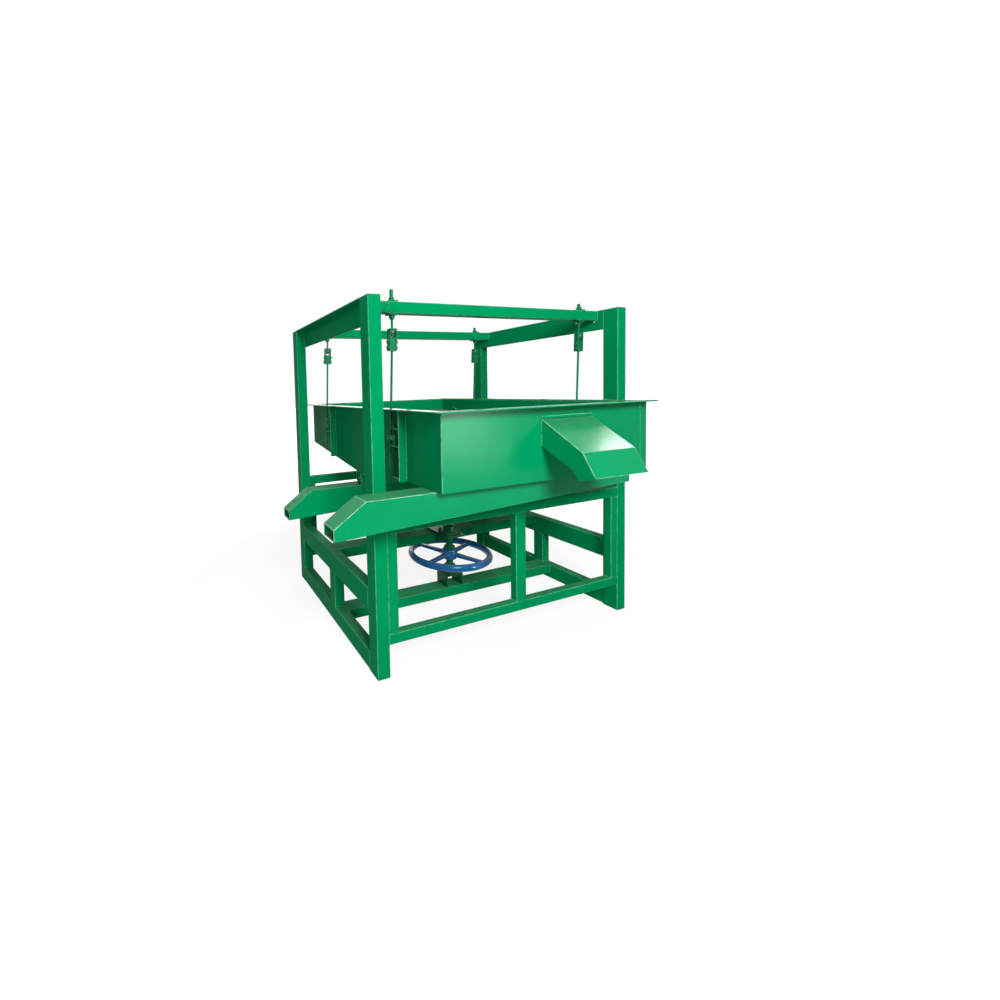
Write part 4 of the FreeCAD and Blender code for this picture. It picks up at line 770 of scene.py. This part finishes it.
def section_boxes(box: Box, section: Section, wall: float) -> list[Box]:
    """Splits a rolled section into the flat legs whose ends are welded.

    Args:
        box: The section's outer box.
        section: The kind of section.
        wall: Thickness of its legs.

    Returns:
        One box per leg.
    """
    top = Box(Vector((box.low.x, box.low.y, box.high.z - wall)), box.high)
    if section is Section.CHANNEL:
        front = Box(box.low, Vector((box.high.x, box.low.y + wall, box.high.z)))
        rear = Box(Vector((box.low.x, box.high.y - wall, box.low.z)), box.high)
        return [front, rear, top]
    inner = box.high.x - wall if box.middle.x < 0 else box.low.x
    web = Box(Vector((inner, box.low.y, box.low.z)), Vector((inner + wall, box.high.y, box.high.z)))
    return [web, top]


def new_piece(name: str, mesh: Mesh, smooth: bool = True) -> bpy.types.Object:
    """Turns a bmesh into a linked object.

    Args:
        name: Name of the piece.
        mesh: Its geometry, which is freed.
        smooth: Whether its faces are shaded smooth.

    Returns:
        The new object.
    """
    bmesh.ops.recalc_face_normals(mesh, faces=mesh.faces)
    data = bpy.data.meshes.new(name)
    mesh.to_mesh(data)
    mesh.free()
    for face in data.polygons:
        face.use_smooth = smooth
    made = bpy.data.objects.new(name, data)
    bpy.context.scene.collection.objects.link(made)
    return made


def ring_frame(direction: Vector) -> tuple[Vector, Vector]:
    """Finds the plane of a ring round a path.

    Args:
        direction: Unit direction of the path.

    Returns:
        Two unit directions square to it.
    """
    steep = 0.9
    helper = UP if abs(direction.z) < steep else ACROSS
    side = direction.cross(helper).normalized()
    return side, side.cross(direction).normalized()


def circle(radius: float) -> Outline:
    """Returns a circle's outline."""
    return lambda angle: (radius * math.cos(angle), radius * math.sin(angle))


def oblong(width: float, height: float, power: float) -> Outline:
    """Draws a rounded oblong.

    Args:
        width: Its full width.
        height: Its full height.
        power: Its roundness, where one makes an ellipse and less a squarer form.

    Returns:
        The oblong's outline.
    """
    def outline(angle: float) -> tuple[float, float]:
        """Returns the reach at an angle."""
        c, s = math.cos(angle), math.sin(angle)
        across, rise = math.copysign(abs(c) ** power, c), math.copysign(abs(s) ** power, s)
        return across * width / 2, rise * height / 2

    return outline


def ring(
    mesh: Mesh, centre: Vector, side: Vector, up: Vector, sides: int, outline: Outline,
) -> list[bmesh.types.BMVert]:
    """Adds one ring of corners.

    Args:
        mesh: The bmesh that takes it.
        centre: Middle of the ring.
        side: Unit direction of the outline's first number.
        up: Unit direction of its second number.
        sides: Number of corners.
        outline: Reach along side and up at an angle in radians.

    Returns:
        The corners in order.
    """
    corners = []
    for k in range(sides):
        across, rise = outline(2 * math.pi * k / sides)
        corners.append(mesh.verts.new(centre + side * across + up * rise))
    return corners


def join_rings(mesh: Mesh, rings: list[list[bmesh.types.BMVert]], closed: bool = False) -> None:
    """Skins rings of corners, with a cap at each end or round into a loop.

    Args:
        mesh: The bmesh that takes the faces.
        rings: Rings with equal numbers of corners.
        closed: Whether the last ring joins the first.
    """
    following = rings[1:] + rings[:1] if closed else rings[1:]
    for first, second in zip(rings, following):
        for k in range(len(first)):
            n = (k + 1) % len(first)
            mesh.faces.new((first[k], first[n], second[n], second[k]))
    if not closed:
        mesh.faces.new(rings[0])
        mesh.faces.new(rings[-1][::-1])


def sweep(mesh: Mesh, points: Sequence[Vector], radius: Callable[[float], float], sides: int = 6) -> None:
    """Adds a closed tube along points.

    Args:
        mesh: The bmesh that takes it.
        points: The path, at least two points.
        radius: Radius at a distance along the path.
        sides: Sides of the tube.
    """
    rings = []
    travelled = 0.0
    for i, point in enumerate(points):
        before, after = points[max(i - 1, 0)], points[min(i + 1, len(points) - 1)]
        travelled += (point - before).length
        side, up = ring_frame((after - before).normalized())
        rings.append(ring(mesh, point, side, up, sides, circle(radius(travelled))))
    join_rings(mesh, rings)


@dataclass
class WeldBead:
    """A run of weld metal under paint, with its ripples."""

    radius: float = 3.0 * MM
    pitch: float = 6.5 * MM
    wander: float = 0.5 * MM
    steps_per_pitch: int = 3
    swells: int = 8
    swell_range: tuple[float, float] = (0.85, 1.15)
    ripples_per_swell: int = 3
    trough: float = 0.78
    ripple: float = 0.3
    end_size: float = 0.45
    least_size: float = 0.3

    def lay(self, mesh: Mesh, start: Vector, end: Vector, dice: random.Random) -> None:
        """Lays one straight bead.

        Args:
            mesh: The bmesh that takes it.
            start: Where the bead starts.
            end: Where it ends.
            dice: Seeded source of the small irregularities.
        """
        run = end - start
        if run.length < 2 * self.pitch:
            return
        count = max(4, round(run.length / self.pitch * self.steps_per_pitch))
        points = []
        for i in range(count + 1):
            drift = Vector([dice.uniform(-self.wander, self.wander) for _ in range(3)])
            points.append(start + run * (i / count) + drift)
        lift = [dice.uniform(*self.swell_range) for _ in range(self.swells)]
        sweep(mesh, points, partial(self._size, run.length, lift))

    def _size(self, length: float, lift: Sequence[float], distance: float) -> float:
        """Finds the bead's radius along its run.

        Args:
            length: Length of the run.
            lift: Factors of the slow swell.
            distance: Distance from the run's start.

        Returns:
            The radius there.
        """
        wave = abs(math.sin(math.pi * distance / self.pitch))
        slow = lift[int(distance / self.pitch / self.ripples_per_swell) % len(lift)]
        rise, fall = (self.end_size + reach / (2 * self.radius) for reach in (distance, length - distance))
        taper = max(self.least_size, min(1.0, rise, fall))
        return self.radius * slow * (self.trough + self.ripple * wave) * taper


Seam = tuple[Vector, Vector, WeldBead]


def contact_seams(a: Box, b: Box, sink: float, near: float = 0.7 * MM) -> list[tuple[Vector, Vector, bool]]:
    """Finds the outline along which two upright boxes are welded together.

    Args:
        a: One member.
        b: The other member.
        sink: How deep a bead lies in the groove between flush faces.
        near: How far apart faces may be and still touch.

    Returns:
        Start, end and whether both members are flush there, for each side of the touching area.
    """
    least_side = 4 * MM
    seams = []
    for k in range(3):
        others = [i for i in range(3) if i != k]
        low = {i: max(a.low[i], b.low[i]) for i in others}
        high = {i: min(a.high[i], b.high[i]) for i in others}
        for first, second in ((a, b), (b, a)):
            if abs(first.high[k] - second.low[k]) > near:
                continue
            if any(high[i] - low[i] < least_side for i in others):
                continue
            for i, j in (others, others[::-1]):
                for value, side_a, side_b, inward in (
                    (low[i], a.low[i], b.low[i], 1), (high[i], a.high[i], b.high[i], -1)
                ):
                    flush = abs(side_a - side_b) < near
                    start, end = Vector((0, 0, 0)), Vector((0, 0, 0))
                    start[k] = end[k] = first.high[k]
                    start[i] = end[i] = value + (inward * sink if flush else 0.0)
                    start[j], end[j] = low[j], high[j]
                    seams.append((start, end, flush))
    return seams


@dataclass(frozen=True)
class Thread:
    """A rolled screw thread, built as a ridged sleeve."""

    radius: float
    length: float
    pitch: float
    depth_share: float = 0.45
    sides: int = 14
    steps: int = 4

    def cut(self, mesh: Mesh, foot: Vector, axis: Vector) -> None:
        """Adds the thread to a mesh.

        Args:
            mesh: The bmesh that takes it.
            foot: Where the thread starts on its axis.
            axis: Unit direction of the axis.
        """
        side, up = ring_frame(axis)
        heights = [i * self.pitch / self.steps for i in range(int(self.length / self.pitch * self.steps) + 1)]
        join_rings(mesh, [
            ring(mesh, foot + axis * height, side, up, self.sides, partial(self._outline, height))
            for height in heights
        ])

    def _outline(self, height: float, angle: float) -> tuple[float, float]:
        """Returns the ridge's reach at a height over the foot and an angle round the axis."""
        phase = (height / self.pitch - angle / (2 * math.pi)) % 1.0
        return circle(self.radius - self.depth_share * self.pitch * abs(2 * phase - 1))(angle)


def grind_flush(mesh: Mesh, outer: Box) -> None:
    """Grinds weld metal flush with the machine's outermost faces.

    Args:
        mesh: The weld metal.
        outer: The machine's box.
    """
    for corner in mesh.verts:
        for i in range(3):
            corner.co[i] = min(max(corner.co[i], outer.low[i]), outer.high[i])


# Sub-assemblies


@dataclass
class SubAssembly:
    """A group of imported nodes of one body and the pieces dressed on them."""

    shop: PaintShop
    outer: Box

    def add(self, piece: bpy.types.Object, body: str, finish: Finish) -> None:
        """Finishes a piece and fixes it to its body.

        Args:
            piece: The object.
            body: The body it rides on.
            finish: Its finish.
        """
        self.shop.coat(piece, finish)
        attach(piece, body)
        LOG.info("piece %s on %s", piece.name, body)

    def dress(self, finish: Finish, *names: str) -> None:
        """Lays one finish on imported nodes.

        Args:
            finish: The finish.
            *names: The nodes.
        """
        for name in names:
            self.shop.coat(frame["nodes"][name], finish)
            LOG.info("node %s in %s", name, finish.name)


@dataclass
class Stand(SubAssembly):
    """The welded frame of columns, rails, posts and cross beams."""

    tube_nodes: tuple[str, ...] = (
        "left_front_column", "right_front_column", "left_rear_column", "right_rear_column",
        "base_rails", "side_mid_rails", "side_posts", "end_lower_rails", "end_mid_rails", "end_posts",
        "front_top_rail", "rear_top_rail", "patch_plates",
    )
    channel_nodes: tuple[str, ...] = ("lower_cross_beam", "upper_cross_beam")
    angle_nodes: tuple[str, ...] = ("left_header", "right_header")
    bracket_nodes: tuple[str, ...] = ("lower_bearing_bracket", "upper_bearing_bracket")
    leg_thickness: float = 6.0 * MM
    fillet: WeldBead = field(default_factory=lambda: WeldBead(radius=3.4 * MM))
    flush: WeldBead = field(default_factory=lambda: WeldBead(radius=4.0 * MM, wander=0.2 * MM))
    flush_sink: float = 2.7 * MM

    def build(self) -> None:
        """Builds the weld beads along every joint of the frame."""
        dice = random.Random(SEED)
        members = [b for n in self.tube_nodes for b in solid_boxes(n)]
        for names, section in ((self.channel_nodes, Section.CHANNEL), (self.angle_nodes, Section.ANGLE)):
            for name in names:
                members += section_boxes(node_box(name), section, self.leg_thickness)
        mesh = bmesh.new()
        for i, first in enumerate(members):
            for second in members[i + 1:]:
                for start, end, flush in contact_seams(first, second, self.flush_sink):
                    (self.flush if flush else self.fillet).lay(mesh, start, end, dice)
        grind_flush(mesh, self.outer)
        self.add(new_piece("frame_weld_beads", mesh), Body.FRAME.value, FRAME_GREEN)

    def finish(self) -> None:
        """Paints the frame's nodes."""
        self.dress(FRAME_GREEN, *self.tube_nodes, *self.channel_nodes, *self.angle_nodes)
        self.dress(CAST_GREEN, *self.bracket_nodes)


@dataclass
class DriveLine(SubAssembly):
    """The upright shaft with its handwheel, collar, crank and bearings."""

    cast_nodes: tuple[str, ...] = (
        "drive_shaft", "wheel_collar", "crank", "lower_bearing", "upper_bearing", "bearing_bolts",
    )
    rim_width: float = 34.0 * MM
    rim_height: float = 38.0 * MM
    rim_steps: int = 120
    rim_sides: int = 20
    hub_radius: float = 39.0 * MM
    hub_height: float = 56.0 * MM
    hub_edge: float = 4.0 * MM
    hub_sides: int = 48
    hub_eye: float = 0.001 * MM
    spoke_count: int = 4
    spoke_turn_deg: float = 22.0
    spoke_hub_size: tuple[float, float] = (34.0 * MM, 22.0 * MM)
    spoke_rim_size: tuple[float, float] = (26.0 * MM, 16.0 * MM)
    spoke_steps: int = 18
    spoke_sides: int = 16
    spoke_power: float = 0.62
    flare: tuple[float, float] = (0.55, 0.5)
    flare_fade: float = 9.0
    flare_rise: float = 0.25
    spoke_start_share: float = 0.5
    spoke_end_share: float = 0.7
    voxel: float = 2.6 * MM
    smoothing: float = 0.6
    smoothing_rounds: int = 6

    def _rim(self, mesh: Mesh, centre: Vector, radius: float) -> None:
        """Adds the wheel's rim, an oval section round the shaft.

        Args:
            mesh: The bmesh that takes it.
            centre: Middle of the wheel.
            radius: Radius of the section's middle.
        """
        section = oblong(self.rim_width, self.rim_height, 1.0)
        rings = []
        for i in range(self.rim_steps):
            turn = 2 * math.pi * i / self.rim_steps
            out = Vector((math.cos(turn), math.sin(turn), 0))
            rings.append(ring(mesh, centre + out * radius, out, UP, self.rim_sides, section))
        join_rings(mesh, rings, closed=True)

    def _spoke(self, mesh: Mesh, centre: Vector, turn: float, start: float, end: float) -> None:
        """Adds one spoke with flared ends.

        Args:
            mesh: The bmesh that takes it.
            centre: Middle of the wheel.
            turn: Heading of the spoke in radians.
            start: Distance of its start from the shaft.
            end: Distance of its end from the shaft.
        """
        out = Vector((math.cos(turn), math.sin(turn), 0))
        side = Vector((-out.y, out.x, 0))
        rings = []
        for i in range(self.spoke_steps + 1):
            share = i / self.spoke_steps
            flare = 1 + sum(size * math.exp(-reach * self.flare_fade)
                            for size, reach in zip(self.flare, (share, 1 - share)))
            width, height = (hub * (1 - share) + rim * share
                             for hub, rim in zip(self.spoke_hub_size, self.spoke_rim_size))
            section = oblong(width * flare, height * (1 + self.flare_rise * (flare - 1)), self.spoke_power)
            rings.append(ring(mesh, centre + out * (start + (end - start) * share), side, UP,
                              self.spoke_sides, section))
        join_rings(mesh, rings)

    def _hub(self, mesh: Mesh, centre: Vector) -> None:
        """Adds the turned hub with its broken edges.

        Args:
            mesh: The bmesh that takes it.
            centre: Middle of the wheel.
        """
        half, edge, reach = self.hub_height / 2, self.hub_edge, self.hub_radius
        profile = [(self.hub_eye, -half), (reach - edge, -half), (reach, -half + edge),
                   (reach, half - edge), (reach - edge, half), (self.hub_eye, half)]
        join_rings(mesh, [ring(mesh, centre + UP * rise, ACROSS, ALONG, self.hub_sides, circle(radius))
                          for radius, rise in profile])

    def build(self) -> None:
        """Builds the cast handwheel, its parts run together as in the mould."""
        box = node_box("handwheel")
        centre = box.middle
        outer = (box.high.x - box.low.x) / 2
        mesh = bmesh.new()
        self._rim(mesh, centre, outer - self.rim_width / 2)
        for i in range(self.spoke_count):
            turn = math.radians(self.spoke_turn_deg + 360 / self.spoke_count * i)
            self._spoke(mesh, centre, turn, self.hub_radius * self.spoke_start_share,
                        outer - self.rim_width * self.spoke_end_share)
        self._hub(mesh, centre)
        wheel = new_piece("handwheel_casting", mesh)
        remesh = wheel.modifiers.new("run_together", "REMESH")
        remesh.mode = "VOXEL"
        remesh.voxel_size = self.voxel
        remesh.use_smooth_shade = True
        smooth = wheel.modifiers.new("sand_mould", "SMOOTH")
        smooth.factor = self.smoothing
        smooth.iterations = self.smoothing_rounds
        cast = bpy.data.meshes.new_from_object(wheel.evaluated_get(bpy.context.evaluated_depsgraph_get()))
        wheel.modifiers.clear()
        wheel.data = cast
        self.add(wheel, Body.CRANKSHAFT.value, WHEEL_BLUE)
        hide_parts("handwheel")

    def finish(self) -> None:
        """Paints the drive's nodes."""
        self.dress(CAST_GREEN, *self.cast_nodes)


@dataclass
class Tray(SubAssembly):
    """The swinging tray with its rim, sieve, hood and troughs."""

    sheet_nodes: tuple[str, ...] = (
        "tray_front_wall", "tray_rear_wall", "tray_strips", "tray_rim",
        "tray_bottom_pan", "rear_chute", "drive_beam", "deck_supports",
    )
    side_nodes: tuple[str, ...] = ("tray_left_wall", "tray_right_wall", "hanger_brackets")
    cast_nodes: tuple[str, ...] = (
        "trough_links", "crank_pin_bearing", "bracket_pins", "rod_clamps", "deck_clamps",
    )
    seam: WeldBead = field(default_factory=lambda: WeldBead(radius=2.0 * MM, pitch=5.0 * MM))
    rough_seam: WeldBead = field(
        default_factory=lambda: WeldBead(radius=2.6 * MM, pitch=8.0 * MM, wander=1.1 * MM))
    mitre: WeldBead = field(default_factory=lambda: WeldBead(radius=1.2 * MM))
    splice: WeldBead = field(default_factory=lambda: WeldBead(radius=2.0 * MM, wander=1.4 * MM))
    splice_shares: tuple[float, ...] = (0.14, 0.38, 0.66)
    splice_slant: float = 12.0 * MM
    strip_seam_inset: float = 6.0 * MM
    hood_seam_length: float = 110.0 * MM
    bracket_seam_steps: tuple[float, ...] = (0.0, 5.0 * MM, 45.0 * MM)
    foot_inset: float = 4.0 * MM
    foot_length: float = 62.0 * MM
    foot_thickness: float = 3.0 * MM
    foot_lip: float = 9.0 * MM
    foot_rise: float = 8.0 * MM
    lip_radius: float = 2.1 * MM
    lip_sides: int = 10
    mouth_reach: float = 0.5 * MM

    def _seams(self) -> list[Seam]:
        """Finds the seams of the tray's sheets.

        Returns:
            Start, end and bead of each seam.
        """
        front, rear, rim = (node_box(n) for n in ("tray_front_wall", "tray_rear_wall", "tray_rim"))
        left, right, hood = (node_box(n) for n in ("tray_left_wall", "tray_right_wall", "discharge_hood"))
        foot, under_rim, top = front.low.z, front.high.z, rim.high.z

        def line(x: Sequence[float], y: Sequence[float], z: Sequence[float], bead: WeldBead) -> Seam:
            """Returns the seam between the first and the last of each coordinate."""
            return Vector((x[0], y[0], z[0])), Vector((x[-1], y[-1], z[-1])), bead

        walls = (foot, under_rim)
        seams = [
            line((right.high.x,), (front.low.y + self.strip_seam_inset,), walls, self.rough_seam),
            line((right.high.x,), (front.low.y,), walls, self.rough_seam),
            line((left.low.x,), (front.high.y,), walls, self.seam),
        ]
        for x in (hood.low.x, hood.high.x):
            heights = (hood.high.z - self.hood_seam_length, hood.high.z)
            seams.append(line((x,), (front.low.y,), heights, self.rough_seam))
        seams.append(line((left.low.x, right.high.x), (front.low.y,), (under_rim,), self.seam))
        sides = ((rim.low.x, left.high.x), (rim.high.x, right.low.x))
        for x in sides:
            for y in ((rim.low.y, front.high.y), (rim.high.y, rear.low.y)):
                seams.append(line(x, y, (top,), self.mitre))
        for share in self.splice_shares:
            y = rim.low.y + share * (rim.high.y - rim.low.y)
            seams += [line(x, (y, y + self.splice_slant), (top,), self.splice) for x in sides]
        return seams

    def _bracket_foot(self, name: str, bracket: Box) -> None:
        """Adds the thin folded plate that closes the lower end of a bracket's pocket.

        Args:
            name: Name of the piece.
            bracket: Box of the bracket it closes.
        """
        side = -1 if bracket.middle.x < 0 else 1
        wall, edge = (bracket.high.x, bracket.low.x) if side < 0 else (bracket.low.x, bracket.high.x)
        fold, thick, lip = edge - side * self.foot_thickness, self.foot_thickness, self.foot_lip
        outline = [(wall, 0.0), (edge, 0.0), (edge, lip), (fold, lip), (fold, thick), (wall, thick)]
        mesh = bmesh.new()
        join_rings(mesh, [
            [mesh.verts.new((x, bracket.low.y + y, bracket.low.z + self.foot_rise + z)) for x, z in outline]
            for y in (self.foot_inset, self.foot_length)
        ])
        self.add(new_piece(name, mesh, smooth=False), Body.TRAY.value, SHEET_GREEN)

    def _mouth_lip(self, name: str) -> None:
        """Adds the turned lip round a trough's open mouth.

        Args:
            name: The trough's node.
        """
        box, inset = node_box(name), self.lip_radius
        points = [v.co for v in frame["nodes"][name].data.vertices if v.co.x < box.low.x + self.mouth_reach]
        front, rear = box.low.y + inset, box.high.y - inset
        low, high = min(p.z for p in points) + inset, max(p.z for p in points) - inset
        corners = [Vector((box.low.x + inset, y, z))
                   for y, z in ((front, low), (rear, low), (rear, high), (front, high))]
        mesh = bmesh.new()
        for first, second in zip(corners, corners[1:] + corners[:1]):
            sweep(mesh, [first, second], lambda distance: self.lip_radius, self.lip_sides)
        self.add(new_piece(name + "_lip", mesh), Body.TRAY.value, SHEET_GREEN)

    def build(self) -> None:
        """Builds the tray's seams, the feet of its front brackets and the lips of its mouths."""
        dice = random.Random(SEED + 1)
        brackets = solid_boxes("hanger_brackets")
        mesh = bmesh.new()
        for start, end, bead in self._seams():
            bead.lay(mesh, start, end, dice)
        for bracket in brackets:
            inner = bracket.high.x if bracket.middle.x < 0 else bracket.low.x
            for step in self.bracket_seam_steps:
                y = bracket.low.y + step
                self.seam.lay(mesh, Vector((inner, y, bracket.low.z)), Vector((inner, y, bracket.high.z)), dice)
        grind_flush(mesh, self.outer)
        self.add(new_piece("tray_weld_beads", mesh), Body.TRAY.value, SHEET_GREEN)
        for bracket in brackets:
            if bracket.middle.y < 0:
                side = "left" if bracket.middle.x < 0 else "right"
                self._bracket_foot("bracket_foot_" + side, bracket)
        for name in ("front_trough", "rear_trough"):
            self._mouth_lip(name)

    def finish(self) -> None:
        """Paints the tray's nodes."""
        self.dress(SHEET_GREEN, *self.sheet_nodes)
        self.dress(FITTING_GREEN, *self.cast_nodes)
        # Painted shade: the side walls and hanger brackets get the darker copy of the green.
        self.dress(SHADED_SIDE_GREEN, *self.side_nodes)
        self.dress(SIEVE, "sieve_deck")
        # Painted highlights along the folds of the hood and front trough.
        self.dress(FOLD_GREEN, "discharge_hood", "front_trough")
        self.dress(FRAME_GREEN, "rear_trough")


@dataclass
class Hangers(SubAssembly):
    """The four hangers: studs on the frame, clevises and rods below."""

    corners: tuple[str, ...] = ("front_left", "front_right", "rear_left", "rear_right")
    stud_end: float = 2.0 * MM
    stud_reach: float = 34.0 * MM
    stud_thread: Thread = Thread(radius=8.35 * MM, length=33.0 * MM, pitch=2.5 * MM)
    rod_end: float = 3.0 * MM
    rod_thread: Thread = Thread(radius=5.35 * MM, length=108.0 * MM, pitch=2.0 * MM)

    def build(self) -> None:
        """Builds the threads of the studs and of the rods' lower ends."""
        mesh = bmesh.new()
        for box in solid_boxes("hanger_studs"):
            foot = Vector((box.middle.x, box.middle.y, box.high.z - self.stud_end - self.stud_reach))
            self.stud_thread.cut(mesh, foot, UP)
        self.add(new_piece("stud_threads", mesh), Body.FRAME.value, FITTING_GREEN)
        for name in self.corners:
            self._thread_rod(name)

    def _thread_rod(self, name: str) -> None:
        """Adds the thread under one rod's clamp, along its leaning line.

        Args:
            name: The hanger's corner.
        """
        points = [v.co for v in frame["nodes"][name + "_rod"].data.vertices]
        low, high = min(p.z for p in points), max(p.z for p in points)
        foot, head = (sum(group, Vector((0, 0, 0))) / len(group) for group in (
            [p for p in points if p.z < low + self.rod_end],
            [p for p in points if p.z > high - self.rod_end],
        ))
        axis = (head - foot).normalized()
        mesh = bmesh.new()
        self.rod_thread.cut(mesh, foot + axis * self.rod_end, axis)
        self.add(new_piece(name + "_rod_thread", mesh), name + "_rod", FITTING_GREEN)

    def finish(self) -> None:
        """Paints the hangers' nodes."""
        self.dress(FITTING_GREEN, "hanger_studs", "hanger_nuts")
        for name in self.corners:
            self.dress(BARE, name + "_ball_nut")
            self.dress(FITTING_GREEN, name + "_clevis", name + "_rod")


# Studio


@dataclass(frozen=True)
class Lamp:
    """A soft square lamp, which may light only the sheen of what it faces."""

    name: str
    place: tuple[float, float, float]
    size: float
    watts: float
    sheen_only: bool = False

    def hang(self, aim: Vector) -> None:
        """Puts the lamp in the scene.

        Args:
            aim: The point it faces.
        """
        data = bpy.data.lights.new(self.name, "AREA")
        data.size = self.size
        data.energy = self.watts
        made = bpy.data.objects.new(self.name, data)
        made.location = self.place
        made.visible_diffuse = not self.sheen_only
        made.rotation_mode = "QUATERNION"
        made.rotation_quaternion = (aim - Vector(self.place)).to_track_quat("-Z", "Y")
        bpy.context.scene.collection.objects.link(made)


@dataclass
class Studio:
    """Floor, light and camera."""

    camera_place: tuple[float, float, float] = (-1.3239, -1.9641, 1.178)
    yaw_deg: float = -20.49
    pitch_deg: float = -3.08
    roll_deg: float = -1.88
    lens_mm: float = 15.47
    sensor_mm: float = 36.0
    shift: tuple[float, float] = (0.1669, -0.0858)
    aim: tuple[float, float, float] = (0.0, 0.0, 0.8)
    lamps: tuple[Lamp, ...] = (
        Lamp("key", (-0.9, -3.8, 2.8), 1.4, 168.0),
        Lamp("bloom", (1.9, -3.9, 0.75), 0.9, 240.0, sheen_only=True),
        Lamp("gleam", (3.42, -0.32, 3.24), 0.36, 17.0, sheen_only=True),
        Lamp("fill", (-4.2, -2.8, 1.7), 2.0, 50.0),
        Lamp("top", (0.2, -0.2, 4.6), 2.6, 55.0),
        Lamp("back", (1.8, 4.6, 2.4), 2.4, 55.0),
    )
    ambient: float = 0.08
    floor_size: float = 60.0
    floor_drop: float = 0.5 * MM
    floor_colour: Colour = (0.5, 0.5, 0.5)
    floor_roughness: float = 0.9
    floor_share: float = 0.64
    floor_glow: float = 1.36
    floor_shadow_reach: tuple[float, float] = (1.5, 3.6)

    def build(self) -> None:
        """Sets up everything round the object."""
        self._world()
        self._floor()
        self._camera()
        for lamp in self.lamps:
            lamp.hang(Vector(self.aim))
        bpy.context.scene.view_settings.view_transform = "Standard"

    def _camera(self) -> None:
        """Places the camera at the photograph's viewpoint."""
        yaw, pitch, roll = (math.radians(a) for a in (self.yaw_deg, self.pitch_deg, self.roll_deg))
        ahead = Vector((-math.sin(yaw) * math.cos(pitch), math.cos(yaw) * math.cos(pitch), math.sin(pitch)))
        level = Vector((math.cos(yaw), math.sin(yaw), 0))
        above = level.cross(ahead)
        right = level * math.cos(roll) + above * math.sin(roll)
        up = above * math.cos(roll) - level * math.sin(roll)
        data = bpy.data.cameras.new("camera")
        data.lens = self.lens_mm
        data.sensor_width = self.sensor_mm
        data.shift_x, data.shift_y = self.shift
        made = bpy.data.objects.new("camera", data)
        turn = Matrix((right, up, -ahead)).transposed().to_4x4()
        made.matrix_world = Matrix.Translation(self.camera_place) @ turn
        bpy.context.scene.collection.objects.link(made)
        bpy.context.scene.camera = made

    def _world(self) -> None:
        """Lights the scene evenly and shows white behind it."""
        world = bpy.data.worlds.new("studio")
        bpy.context.scene.world = world
        world.use_nodes = True
        back = world.node_tree.nodes["Background"]
        back.inputs["Color"].default_value = rgba((1.0, 1.0, 1.0))
        n = TreeBuilder(world.node_tree)
        n.link(n.ranged(self._seen(n), self.ambient, 1.0), back.inputs["Strength"])

    @staticmethod
    def _seen(n: TreeBuilder) -> Socket:
        """Adds a mask that is one where a camera, glossy or transmission ray arrives.

        Args:
            n: Builder of the node tree.

        Returns:
            The mask's socket.
        """
        path = n.node("ShaderNodeLightPath").outputs
        seen = n.math("MAXIMUM", path["Is Camera Ray"], path["Is Glossy Ray"])
        return n.math("MAXIMUM", seen, path["Is Transmission Ray"])

    def _floor(self) -> None:
        """Lays a plain pale floor that keeps a soft shadow."""
        half, level = self.floor_size / 2, -self.floor_drop
        mesh = bmesh.new()
        mesh.faces.new([mesh.verts.new((x * half, y * half, level))
                        for x, y in ((-1, -1), (1, -1), (1, 1), (-1, 1))])
        floor = new_piece("floor", mesh, smooth=False)
        m = MaterialBuilder("pale_floor")
        m.shader.inputs["Base Color"].default_value = rgba(self.floor_colour)
        m.shade(self.floor_roughness, "Roughness")
        m.shade(0.0, "Specular IOR Level")
        glow = m.node("ShaderNodeEmission")
        m.feed(self.floor_glow, glow.inputs["Strength"])
        away = m.node("ShaderNodeVectorMath", operation="LENGTH")
        m.link(m.node("ShaderNodeTexCoord").outputs["Object"], away.inputs[0])
        fade = m.node("ShaderNodeMapRange", interpolation_type="SMOOTHSTEP")
        near, far = self.floor_shadow_reach
        for operand, name in ((away.outputs["Value"], "Value"), (near, "From Min"), (far, "From Max"),
                              (self.floor_share, "To Min")):
            m.feed(operand, fade.inputs[name])
        mix = m.node("ShaderNodeMixShader")
        share = m.math("MULTIPLY", self._seen(m), fade.outputs["Result"])
        for source, target in zip((share, m.shader.outputs[0], glow.outputs[0]), mix.inputs):
            m.link(source, target)
        m.link(mix.outputs[0], m.tree.nodes["Material Output"].inputs["Surface"])
        floor.data.materials.append(m.material)
        floor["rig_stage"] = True


def main() -> None:
    """Builds and finishes the machine, then the studio round it."""
    logging.basicConfig(level=logging.INFO, format="%(name)s: %(message)s")
    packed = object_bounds()
    shop = PaintShop(ShaderGroups())
    outer = Box(*packed)
    for part in (Stand(shop, outer), DriveLine(shop, outer), Tray(shop, outer), Hangers(shop, outer)):
        LOG.info("building %s", type(part).__name__)
        part.build()
        part.finish()
    Studio().build()


if __name__ == "__main__":
    main()
